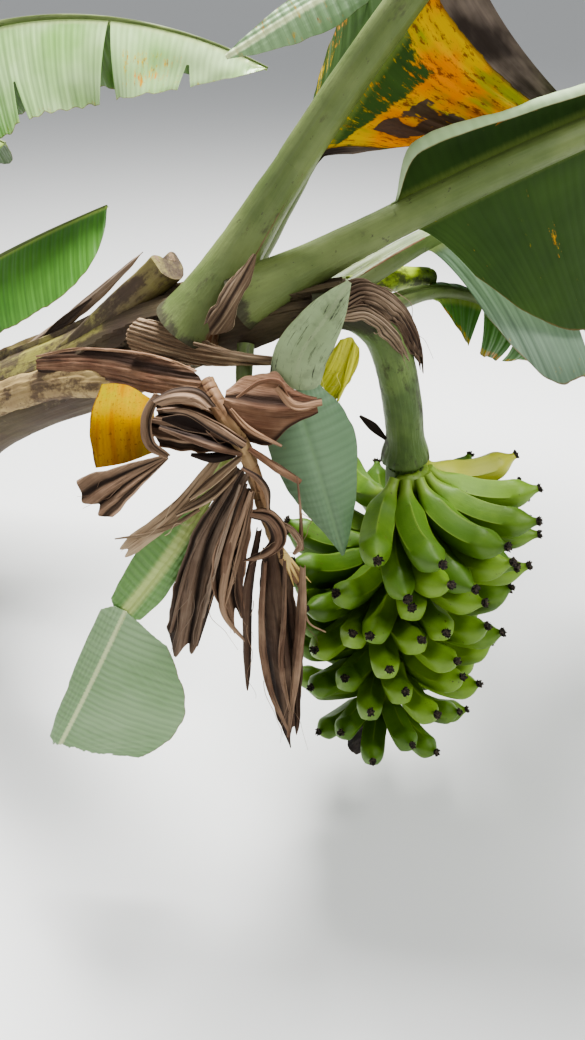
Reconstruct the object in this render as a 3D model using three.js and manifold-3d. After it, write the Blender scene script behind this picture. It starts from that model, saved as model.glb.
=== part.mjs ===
// A leaning banana plant with one hanging bunch, and the young follower stem that
// grows from the same root. Millimetres, +Z up. The origin is the centre of the flat
// cut under the main stem, at ground level. The stem leans towards +X and -Y.
import * as THREE from 'three';
import { mergeVertices } from 'three/addons/utils/BufferGeometryUtils.js';
import Module from 'manifold-3d';

const wasm = await Module();
wasm.setup();

const DEG = Math.PI / 180;
const vec = (x, y, z) => new THREE.Vector3(x, y, z);
const mix = (a, b, f) => a + (b - a) * f;

const CLEAR = 0.4; // the gap between two pieces that touch
const ENDS_APART = 0.65; // the gap between two pieces that meet end to end
const LEAF_THINNESS = 1 / 95; // a blade's thickness as a share of its length
const DRY_THICKNESS = 6; // of a dead strip or sheath

// The main stem: points on its centreline, and its radius without and with the root flare
const STEM = {
  through: [vec(0, 0, 0), vec(135, -108, 250), vec(318, -255, 500), vec(604, -486, 785), vec(900, -716, 991),
    vec(1095, -866, 1118), vec(1241, -931, 1170), vec(1337, -956, 1196)],
  low: 92, throat: 44, taper: 1.6, flare: 62, flareReach: 110 };

// The follower stem, grown from the same root
const FOLLOWER = {
  from: vec(-175, 150, 0), heading: 25, rise: 86, fall: 8, length: 900,
  low: 60, throat: 32, taper: 1, flare: 34, flareReach: 80 };

// The bunch: its core, and for each hand its height, the direction that it faces, how far
// it reaches round, its fruits, and their length and angles at the core and at the tip
const CORE = { x: 1457, y: -910, top: 879, bottom: 230, wide: 33, narrow: 17 };
const HANDS = [
  { z: 858, faces: -40, span: 176, fruits: 12, length: 228, droop: 54, lift: 20 },
  { z: 786, faces: 14, span: 236, fruits: 13, length: 226, droop: 52, lift: 34 },
  { z: 700, faces: -168, span: 220, fruits: 12, length: 206, droop: 44, lift: 40 },
  { z: 616, faces: -62, span: 230, fruits: 12, length: 214, droop: 50, lift: 48 },
  { z: 548, faces: 104, span: 228, fruits: 11, length: 200, droop: 44, lift: 44 },
  { z: 470, faces: -66, span: 240, fruits: 12, length: 194, droop: 48, lift: 50 },
  { z: 398, faces: 84, span: 228, fruits: 10, length: 178, droop: 42, lift: 44 },
  { z: 330, faces: -84, span: 228, fruits: 9, length: 164, droop: 52, lift: 36 },
];
const FRUIT = { thick: 26, thinner: 23, rows: 30, stagger: 9, swing: 0.3, sweep: 10 };

const PALETTE = {
  stem_brown: [0x77664b, 0.85],
  stalk_green: [0x93a86a, 0.5],
  leaf_green: [0x3f6b33, 0.45],
  leaf_pale: [0x8fb08a, 0.5],
  leaf_yellow: [0xd9a021, 0.6],
  dry_brown: [0x6f5443, 0.9],
  fruit_green: [0x6f9a2f, 0.4],
  bud_dark: [0x33271f, 0.9],
};
const paints = Object.fromEntries(Object.entries(PALETTE).map(([name, [color, roughness]]) => [
  name, new THREE.MeshStandardMaterial({ color, roughness, metalness: 0, name })]));

// Random numbers that come out the same on every run
function seeded(seed) {
  let state = seed;
  return () => {
    state = (state * 1664525 + 1013904223) % 4294967296;
    return state / 4294967296;
  };
}

// Closed triangles to a solid whose faces point out
function solidFrom(points, triangles) {
  const geometry = new THREE.BufferGeometry().setFromPoints(points);
  geometry.setIndex(triangles);
  const merged = mergeVertices(geometry, 1e-3);
  const corners = Array.from(merged.index.array);
  const kept = [];
  for (let i = 0; i < corners.length; i += 3) {
    const [a, b, c] = corners.slice(i, i + 3);
    if (a !== b && b !== c && a !== c) kept.push(a, b, c);
  }
  const vertProperties = new Float32Array(merged.attributes.position.array);
  const make = (order) => new wasm.Manifold(
    new wasm.Mesh({ numProp: 3, vertProperties, triVerts: new Uint32Array(order) }));
  const made = make(kept);
  return made.volume() > 0 ? made : make(kept.reverse());
}

// A solid back to a geometry that a mesh can hold
function geometryOf(solid) {
  const { numProp, numVert, vertProperties, triVerts } = solid.getMesh();
  const at = new Float32Array(numVert * 3);
  for (let i = 0; i < numVert; i++) at.set(vertProperties.subarray(i * numProp, i * numProp + 3), i * 3);
  const geometry = new THREE.BufferGeometry();
  geometry.setAttribute('position', new THREE.BufferAttribute(at, 3));
  geometry.setIndex(Array.from(triVerts));
  return geometry;
}

const boxesMeet = (a, b) => a.max.every((v, i) => v > b.min[i]) && b.max.every((v, i) => v > a.min[i]);

// The largest piece that is left of a solid beside its neighbours
function beside(solid, neighbours) {
  const near = neighbours.filter((n) => boxesMeet(solid.boundingBox(), n.boundingBox()));
  const left = near.reduce((s, n) => s.subtract(n), solid);
  return left.decompose().reduce((best, s) => (s.volume() > best.volume() ? s : best));
}

const group = new THREE.Group();
const standing = []; // every piece that is placed, grown by the clearance

// Adds a piece clear of all the pieces before it. make(grow) builds it that much larger.
function put(name, paint, make) {
  const mesh = new THREE.Mesh(geometryOf(beside(make(0), standing)), paints[paint]);
  mesh.name = name;
  group.add(mesh);
  standing.push(make(CLEAR));
}

// A centreline through given points, or one that sets out at an angle of rise and
// heading, bows down by fall and turns by turn
function line({ through, from, heading, rise, fall = 0, turn = 0, sag = 1, veer = 2, length }) {
  if (through) return new THREE.CatmullRomCurve3(through);
  const steps = 28;
  const points = [from.clone()];
  for (let i = 0; i < steps; i++) {
    const f = (i + 0.5) / steps;
    const up = (rise - fall * f ** sag) * DEG;
    const round = (heading + turn * f ** veer) * DEG;
    const step = vec(Math.cos(up) * Math.cos(round), Math.cos(up) * Math.sin(round), Math.sin(up));
    points.push(points[i].clone().addScaledVector(step, length / steps));
  }
  return new THREE.CatmullRomCurve3(points);
}

// Place, direction, upper side and right-hand side at a share f of a centreline
function frameAt(curve, f, face) {
  const share = Math.min(Math.max(f, 0), 1);
  const along = curve.getTangentAt(share);
  const up = face.clone().addScaledVector(along, -face.dot(along)).normalize();
  return { at: curve.getPointAt(share), along, up, side: along.clone().cross(up) };
}

// The value of a list at a share f of its length
function valueAt(list, f) {
  const at = Math.min(Math.max(f, 0), 1) * (list.length - 1);
  const i = Math.min(Math.floor(at), list.length - 2);
  return mix(list[i], list[i + 1], at - i);
}

// Rings of points joined to a closed solid
function tube(points, sides) {
  const triangles = [];
  const last = points.length - sides;
  const centreOf = (first) => {
    const sum = vec(0, 0, 0);
    for (let k = 0; k < sides; k++) sum.add(points[first + k]);
    return sum.divideScalar(sides);
  };
  const ends = points.length;
  const closed = [...points, centreOf(0), centreOf(last)];
  for (let k = 0; k < sides; k++) {
    const next = (k + 1) % sides;
    for (let i = 0; i < last; i += sides) {
      const [a, b, c, d] = [i + k, i + next, i + sides + next, i + sides + k];
      triangles.push(a, b, c, a, c, d);
    }
    triangles.push(ends, next, k, ends + 1, last + k, last + next);
  }
  return solidFrom(closed, triangles);
}

// A tapering limb: rings of one outline set along a centreline, closed at both ends
function limb({ curve, to = 1, face, radius, sides = 10, rings = 8, outline = () => 1 }, grow) {
  const points = [];
  for (let i = 0; i < rings; i++) {
    const f = (to * i) / (rings - 1);
    const { at, along, up, side } = frameAt(curve, f, face);
    at.addScaledVector(along, i === 0 ? -grow : i === rings - 1 ? grow : 0);
    for (let k = 0; k < sides; k++) {
      const a = (k / sides) * 2 * Math.PI;
      const r = radius(f) * outline(a, f) + grow;
      points.push(at.clone().addScaledVector(side, r * Math.cos(a)).addScaledVector(up, r * Math.sin(a)));
    }
  }
  return tube(points, sides);
}

// A thin sheet over a grid: place(i, j) gives its upper and lower point, and gone(i, j)
// the cells that are torn away. The rim of every hole and notch is closed.
function sheet(rows, columns, place, gone = () => false) {
  const points = [];
  const triangles = [];
  for (let i = 0; i < rows; i++) {
    for (let j = 0; j < columns; j++) points.push(...place(i, j));
  }
  const over = ([i, j]) => 2 * (i * columns + j);
  const there = (i, j) => i >= 0 && j >= 0 && i < rows - 1 && j < columns - 1 && !gone(i, j);
  const wall = (a, b) => {
    triangles.push(over(a), over(a) + 1, over(b) + 1, over(a), over(b) + 1, over(b));
  };
  for (let i = 0; i < rows - 1; i++) {
    for (let j = 0; j < columns - 1; j++) {
      if (!there(i, j)) continue;
      const corners = [[i, j], [i + 1, j], [i + 1, j + 1], [i, j + 1]];
      const [a, b, c, d] = corners.map(over);
      triangles.push(a, b, c, a, c, d, a + 1, c + 1, b + 1, a + 1, d + 1, c + 1);
      if (!there(i, j - 1)) wall(corners[0], corners[1]);
      if (!there(i + 1, j)) wall(corners[1], corners[2]);
      if (!there(i, j + 1)) wall(corners[2], corners[3]);
      if (!there(i - 1, j)) wall(corners[3], corners[0]);
    }
  }
  return solidFrom(points, triangles);
}

// A strip or sheath: half widths to its left and right along a centreline, and the angle
// by which both sides are cupped down
function ribbon({ faces, left, right = left, cup = 0, rows = 6, thick = DRY_THICKNESS, ...spec }, grow) {
  const curve = line(spec);
  const shares = [-1, 0, 1];
  return sheet(rows, shares.length, (i, j) => {
    const g = i / (rows - 1);
    const { at, along, up, side } = frameAt(curve, g, faces[0].clone().lerp(faces[1] ?? faces[0], g));
    at.addScaledVector(along, i === 0 ? -grow : i === rows - 1 ? grow : 0);
    const width = (valueAt(j === 0 ? left : right, g) + grow) * shares[j];
    at.addScaledVector(side, width * Math.cos(cup * DEG));
    at.addScaledVector(up, -Math.abs(width) * Math.sin(cup * DEG));
    const half = thick / 2 + grow;
    return [at.clone().addScaledVector(up, half), at.clone().addScaledVector(up, -half)];
  });
}

// How wide a blade is as a share of its widest: it opens over the base share, then narrows
const BLADE_TIP = 2.4;
function bladeShape(g, base) {
  const opening = Math.sin((Math.PI / 2) * Math.min(Math.max(g, 0) / base, 1));
  const past = Math.max((g - base) / (1 - base), 0);
  return opening * Math.max(1 - past ** BLADE_TIP, 0) ** 0.8;
}

// A leaf blade with its rib. Each half leaves the rib at an angle of fold below the rib's
// level, and curls down by bend more at its margin. A tear is a slit across one half.
const BLADE_STATIONS = [0, 0.03, 0.08, 0.15, 0.26, 0.42, 0.6, 0.78, 0.93, 1];
const BLADE_COLUMNS = [-1, -0.5, 0, null, 0, 0.5, 1]; // shares of a half, and the rib's middle
const SLIT = 0.002;
const [RIB_TOP, RIB_KEEL] = [-0.3, -1.9]; // heights of the rib's middle, in rib radii
function blade({ curve, stalk, faces, rib, left, right, tears = [], base = 0.12 }, grow) {
  const thick = curve.getLength() * (1 - stalk) * LEAF_THINNESS;
  const start = stalk + ENDS_APART / curve.getLength();
  const middle = BLADE_COLUMNS.indexOf(null);
  const slits = tears.flatMap((tear) => [-1, 1].map((open) => ({ g: tear.at + SLIT * open, tear, open })));
  const clearOfTears = (g) => !tears.some((tear) => Math.abs(tear.at - g) < 0.02);
  const plain = BLADE_STATIONS.filter(clearOfTears).map((g) => ({ g }));
  const stations = [...plain, ...slits].sort((a, b) => a.g - b.g);
  const hand = (j) => (j < middle ? -1 : 1);
  const place = (i, j) => {
    const { g, tear, open } = stations[i];
    const share = BLADE_COLUMNS[j];
    const torn = tear && tear.side === hand(j) && Math.abs(share) > tear.depth;
    const slip = torn ? (open * tear.gap * (Math.abs(share) - tear.depth)) / (1 - tear.depth) / 2 : 0;
    const face = faces[0].clone().lerp(faces[1], g);
    const { at, along, up, side } = frameAt(curve, mix(start, 1, g + slip), face);
    at.addScaledVector(along, i === 0 ? -grow : i === stations.length - 1 ? grow : 0);
    const ribRadius = mix(rib[0], rib[1], g) + grow;
    if (share === null) {
      const heights = [RIB_TOP * ribRadius + grow, RIB_KEEL * ribRadius - thick / 2 - grow];
      return heights.map((h) => at.clone().addScaledVector(up, h));
    }
    const { width, fold, bend } = j < middle ? left : right;
    const inner = fold * DEG;
    const outer = inner + bend * DEG * Math.abs(share);
    const full = Math.max(width * bladeShape(g + slip, base) - ribRadius, 0.3 * ribRadius + 2);
    const reach = (full + grow) * Math.abs(share) * 0.5;
    const out = ribRadius * Math.cos(inner) + reach * (Math.cos(inner) + Math.cos(outer));
    const down = ribRadius * Math.sin(inner) + reach * (Math.sin(inner) + Math.sin(outer));
    at.addScaledVector(side, hand(j) * out).addScaledVector(up, -down);
    const half = Math.min(thick, full) / 2 + grow;
    if (share === 0) return [half, -half - 0.9 * ribRadius].map((h) => at.clone().addScaledVector(up, h));
    const normal = up.clone().multiplyScalar(Math.cos(outer));
    normal.addScaledVector(side, hand(j) * Math.sin(outer));
    return [half, -half].map((h) => at.clone().addScaledVector(normal, h));
  };
  const gone = (i, j) => {
    const { tear } = stations[i];
    if (!tear || stations[i + 1].tear !== tear) return false;
    const [a, b] = [BLADE_COLUMNS[j], BLADE_COLUMNS[j + 1]];
    if (a === null || b === null) return false;
    return tear.side === Math.sign(a + b) && Math.min(Math.abs(a), Math.abs(b)) >= tear.depth;
  };
  return sheet(stations.length, BLADE_COLUMNS.length, place, gone);
}

// Stems

// The lapping sheaths give a stem low flat ridges
const sheathRidges = (a, f) => 1 + 0.035 * Math.cos(3 * a + 5 * f);

// A stem starts below the ground and is cut flat there, so the cut is level
const BURIED = 120;
const GROUND_BLOCK = 3000;
function stem(spec, grow) {
  const curve = line(spec);
  const length = curve.getLength();
  const buried = new THREE.CatmullRomCurve3([
    curve.getPointAt(0).addScaledVector(curve.getTangentAt(0), -BURIED), ...curve.getSpacedPoints(24)]);
  const radius = (g) => {
    const f = Math.max((g * (length + BURIED) - BURIED) / length, 0);
    const flare = spec.flare * Math.exp((-f * length) / spec.flareReach);
    return mix(spec.low, spec.throat, f ** spec.taper) + flare;
  };
  const shape = { curve: buried, face: vec(0, 0.2, 1), sides: 14, rings: 16, outline: sheathRidges, radius };
  const whole = limb(shape, grow);
  const block = new THREE.BoxGeometry(GROUND_BLOCK, GROUND_BLOCK, GROUND_BLOCK);
  block.translate(0, 0, GROUND_BLOCK / 2);
  const corners = Array.from({ length: block.attributes.position.count }, (_, i) => (
    new THREE.Vector3().fromBufferAttribute(block.attributes.position, i)));
  return whole.intersect(solidFrom(corners, Array.from(block.index.array)));
}

put('main_stem', 'stem_brown', (grow) => stem(STEM, grow));
put('follower_stem', 'stalk_green', (grow) => stem(FOLLOWER, grow));

// Leaves. stalk is the share of the line that is bare stalk, and faces the directions of
// the upper side at the foot and at the tip.
const LEAVES = [
  { name: 'high', base: 0.22, stalk: 0.155, foot: 62, neck: 37, rib: [26, 5],
    line: { from: vec(1100, -903, 1127), heading: -3, rise: 57, fall: 98, sag: 2.3, turn: 12, length: 1900 },
    faces: [vec(0.4, 0.85, -0.25), vec(0.3, 0.4, 0.8)],
    left: { width: 250, fold: -30, bend: 10 }, right: { width: 200, fold: -44, bend: 0 },
    tears: [{ side: -1, at: 0.205, depth: 0, gap: 0.12 }, { side: 1, at: 0.5, depth: 0.5, gap: 0.05 }] },
  { name: 'right', base: 0.17, stalk: 0.162, foot: 54, neck: 31, rib: [24, 4],
    line: { from: vec(1160, -925, 1168), heading: -10, rise: 29, fall: 76, sag: 1.7, turn: 50, veer: 0.7,
      length: 1950 },
    faces: [vec(-0.1, 0.95, 0.2), vec(0.1, 0.5, 0.85)],
    left: { width: 390, fold: -4, bend: 14 }, right: { width: 110, fold: -25, bend: -150 },
    tears: [{ side: 1, at: 0.17, depth: 0.5, gap: 0.03 }, { side: -1, at: 0.5, depth: 0, gap: 0.05 }] },
  { name: 'low_right', base: 0.16, stalk: 0.115, foot: 25, neck: 22, rib: [18, 4],
    line: { from: vec(1330, -915, 1190), heading: 39, rise: 17, fall: 66, sag: 1.1, turn: -14, length: 1520 },
    faces: [vec(-0.2, -0.1, 0.95), vec(-0.1, 0, 1)],
    left: { width: 200, fold: 15, bend: 30 }, right: { width: 330, fold: 48, bend: 22 },
    tears: [{ side: 1, at: 0.19, depth: 0.5, gap: 0.02 }, { side: -1, at: 0.5, depth: 0, gap: 0.06 }] },
  { name: 'drooping', base: 0.4, stalk: 0.39, foot: 20, neck: 17, rib: [13, 4],
    line: { through: [vec(1322, -945, 1168), vec(1406, -882, 1158), vec(1492, -800, 1150),
      vec(1569, -740, 1122), vec(1648, -706, 1075), vec(1717, -690, 1010), vec(1737, -688, 970)] },
    faces: [vec(-0.1, -0.1, 0.95), vec(0.3, -0.1, 0.9)],
    left: { width: 84, fold: -15, bend: 50 }, right: { width: 92, fold: 55, bend: 25 },
    tears: [{ side: 1, at: 0.42, depth: 0, gap: 0.14 }] },
  { name: 'back', base: 0.14, stalk: 0.33, foot: 34, neck: 24, rib: [20, 4],
    line: { from: vec(1133, -845, 1122), heading: 39, rise: 50, fall: 80, sag: 1.7, turn: 62, veer: 1.4,
      length: 1950 },
    faces: [vec(-0.5, -0.2, 0.6), vec(0, -0.1, 1)],
    left: { width: 250, fold: -12, bend: 42 }, right: { width: 260, fold: -12, bend: 42 },
    tears: [{ side: 1, at: 0.4, depth: 0, gap: 0.04 }, { side: -1, at: 0.55, depth: 0, gap: 0.05 }] },
];

// Leaves of the follower
const FOLLOWER_LEAVES = [
  { name: 'low', base: 0.3, stalk: 0.3, foot: 24, neck: 13, rib: [10, 3],
    line: { from: vec(-150, 160, 560), heading: -10, rise: 36, fall: 14, length: 1080 },
    faces: [vec(-0.3, 0.2, 0.9), vec(-0.5, 0.3, 0.8)],
    left: { width: 130, fold: 50, bend: 15 }, right: { width: 240, fold: 40, bend: 15 } },
  { name: 'arching', base: 0.14, stalk: 0.24, foot: 22, neck: 15, rib: [13, 3],
    line: { from: vec(-135, 170, 870), heading: -9, rise: 75, fall: 99, sag: 0.85, length: 1640 },
    faces: [vec(-0.5, 0.1, 0.8), vec(0.1, 0.1, 0.95)],
    left: { width: 230, fold: 50, bend: 20 }, right: { width: 270, fold: 58, bend: 14 },
    tears: [{ side: 1, at: 0.7, depth: 0, gap: 0.03 }, { side: 1, at: 0.3, depth: 0, gap: 0.05 }] },
  { name: 'front', base: 0.15, stalk: 0.28, foot: 22, neck: 14, rib: [12, 3],
    line: { from: vec(-140, 160, 830), heading: -27, rise: 66, fall: 82, sag: 1.1, length: 1080 },
    faces: [vec(0, 0, 1), vec(0, 0.1, 1)],
    left: { width: 150, fold: 25, bend: 40 }, right: { width: 160, fold: 35, bend: 40 },
    tears: [{ side: -1, at: 0.55, depth: 0, gap: 0.05 }] },
  { name: 'left', base: 0.14, stalk: 0.25, foot: 22, neck: 14, rib: [12, 3],
    line: { from: vec(-155, 160, 820), heading: 172, rise: 66, fall: 98, sag: 1.2, length: 1350 },
    faces: [vec(0, 0, 1), vec(0, 0, 1)],
    left: { width: 200, fold: 15, bend: 40 }, right: { width: 200, fold: 15, bend: 40 },
    tears: [{ side: 1, at: 0.5, depth: 0, gap: 0.05 }] },
  { name: 'rear', base: 0.14, stalk: 0.25, foot: 22, neck: 14, rib: [12, 3],
    line: { from: vec(-145, 175, 840), heading: 98, rise: 66, fall: 90, sag: 1.2, length: 1300 },
    faces: [vec(0, 0, 1), vec(0, 0, 1)],
    left: { width: 190, fold: 15, bend: 40 }, right: { width: 190, fold: 15, bend: 40 },
    tears: [{ side: -1, at: 0.45, depth: 0, gap: 0.06 }] },
];

// The gutter shape of a leaf stalk: rounded under, hollow along the top, with raised rims
function gutter(a) {
  const fromTop = Math.abs(((a / DEG + 90) % 360) - 180);
  if (fromTop < 20) return 0.45;
  return fromTop < 65 ? 1.06 : 1;
}

function growLeaf(leaf, prefix) {
  const curve = line(leaf.line);
  const radius = (f) => {
    const share = Math.min(f / leaf.stalk, 1);
    return mix(leaf.neck, leaf.rib[0], share) + (leaf.foot - leaf.neck) * (1 - share) ** 3;
  };
  const bare = { curve, face: leaf.faces[0], to: leaf.stalk, rings: 6, outline: gutter, radius };
  put(`${prefix}stalk_${leaf.name}`, 'stalk_green', (grow) => limb(bare, grow));
  put(`${prefix}blade_${leaf.name}`, 'leaf_green', (grow) => blade({ ...leaf, curve }, grow));
}
for (const leaf of LEAVES) growLeaf(leaf, '');
for (const leaf of FOLLOWER_LEAVES) growLeaf(leaf, 'follower_');

// A plain round limb, given by its radius at both ends
const plainLimb = (spec, thick, thin, sides, rings) => (grow) => limb({
  curve: line(spec), face: vec(0, 1, 0.3), radius: (f) => mix(thick, thin, f), sides, rings }, grow);

// The stalk of a leaf that was cut off, and the follower's newest leaf, still rolled up
put('stalk_cut_off', 'leaf_yellow', plainLimb({
  through: [vec(1345, -905, 1188), vec(1413, -822, 1177), vec(1501, -692, 1137)] }, 22, 19, 8, 3));
put('follower_spear', 'leaf_pale', plainLimb({
  from: line(FOLLOWER).getPointAt(1), heading: 60, rise: 86, fall: 6, length: 620 }, 20, 5, 8, 5));

// The bunch

// Its stalk bends over and ends in a collar above the core
put('bunch_stalk', 'stalk_green', (grow) => limb({
  curve: line({ through: [vec(1290, -955, 1178), vec(1348, -956, 1180), vec(1396, -938, 1140),
    vec(1430, -920, 1050), vec(1450, -911, 950), vec(1457, -910, CORE.top + ENDS_APART)] }),
  face: vec(0.3, 1, 0.2), sides: 12, rings: 11, radius: (f) => 33 + 6 * f ** 14 }, grow));

const coreRadius = (z) => mix(CORE.narrow, CORE.wide, (z - CORE.bottom) / (CORE.top - CORE.bottom));
const coreEnds = [CORE.top, CORE.bottom].map((z) => vec(CORE.x, CORE.y, z));
put('bunch_core', 'fruit_green', plainLimb({ through: coreEnds }, CORE.wide, CORE.narrow, 12, 3));
put('withered_bud', 'bud_dark', (grow) => limb({
  curve: line({
    from: vec(CORE.x, CORE.y, CORE.bottom - ENDS_APART), heading: 185, rise: -60, fall: -5, length: 118 }),
  face: vec(0, 1, 0), sides: 8, rings: 4, radius: (f) => 15 + 6 * Math.sin(f * 2.6) }, grow));

// One fruit: it leaves the core pointing down, and bows up and round to its tip
const FRUIT_RINGS = [[0, 0.26], [0.16, 0.5], [0.4, 1], [0.82, 0.96], [1, 0.25]];
const FRUIT_SIDES = 5;
const FRUIT_STEPS = 50;
function fruit({ azimuth, swing, base, length, thick, droop, lift }, grow) {
  const directionAt = (f) => {
    const slope = (-droop + (droop + lift) * f ** 0.8) * DEG;
    const round = (azimuth + swing * f) * DEG;
    return vec(Math.cos(slope) * Math.cos(round), Math.cos(slope) * Math.sin(round), Math.sin(slope));
  };
  const spine = [base];
  for (let i = 0; i < FRUIT_STEPS; i++) {
    spine.push(spine[i].clone().addScaledVector(directionAt((i + 0.5) / FRUIT_STEPS), length / FRUIT_STEPS));
  }
  const points = [];
  for (const [f, share] of FRUIT_RINGS) {
    const along = directionAt(f);
    const across = vec(-along.y, along.x, 0).normalize();
    const up = across.clone().cross(along).negate();
    const at = spine[Math.round(f * FRUIT_STEPS)].clone().addScaledVector(along, f === 1 ? grow : 0);
    for (let k = 0; k < FRUIT_SIDES; k++) {
      const a = ((k + 0.25) / FRUIT_SIDES) * 2 * Math.PI;
      const r = thick * share + grow;
      points.push(at.clone().addScaledVector(across, r * Math.cos(a)).addScaledVector(up, r * Math.sin(a)));
    }
  }
  return tube(points, FRUIT_SIDES);
}

// The cushion that joins a hand's fruits to the core
const CUSHION = { height: 44, depth: 13, steps: 7 };
function cushion({ z, faces, span }, grow) {
  const inner = coreRadius(z + CUSHION.height / 2) + CLEAR + 0.6 - grow;
  return sheet(CUSHION.steps, 2, (i, j) => {
    const a = (faces + span * (i / (CUSHION.steps - 1) - 0.5)) * DEG;
    const spot = (r) => vec(
      CORE.x + r * Math.cos(a), CORE.y + r * Math.sin(a), z + (CUSHION.height + 2 * grow) * (j - 0.5));
    return [spot(inner + CUSHION.depth + 2 * grow), spot(inner)];
  });
}

// A hand: two rows of fruits on one cushion. The fruits swing towards the hand's middle.
function handOf(hand, grow) {
  const random = seeded(hand.z);
  let made = cushion(hand, grow);
  for (let k = 0; k < hand.fruits; k++) {
    const upper = k % 2 === 0;
    const aside = hand.span * 0.92 * (k / (hand.fruits - 1) - 0.5) + 5 * (random() - 0.5);
    const azimuth = hand.faces + aside;
    const reach = coreRadius(hand.z) + 8;
    const spot = vec(CORE.x + reach * Math.cos(azimuth * DEG), CORE.y + reach * Math.sin(azimuth * DEG),
      hand.z + (upper ? 0.5 : -0.5) * FRUIT.rows);
    made = made.add(fruit({
      azimuth, base: spot, swing: FRUIT.sweep - aside * FRUIT.swing,
      length: hand.length * (upper ? 0.97 : 1.02) * (1 + 0.08 * (random() - 0.5)),
      thick: mix(FRUIT.thinner, FRUIT.thick, (hand.length - 150) / 80),
      droop: hand.droop + (upper ? -0.5 : 0.5) * FRUIT.stagger,
      lift: hand.lift + (upper ? 0.5 : -0.5) * FRUIT.stagger + 6 * (random() - 0.5) }, grow));
  }
  return made;
}
HANDS.forEach((hand, i) => put(`hand_${i + 1}`, 'fruit_green', (grow) => handOf(hand, grow)));

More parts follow.
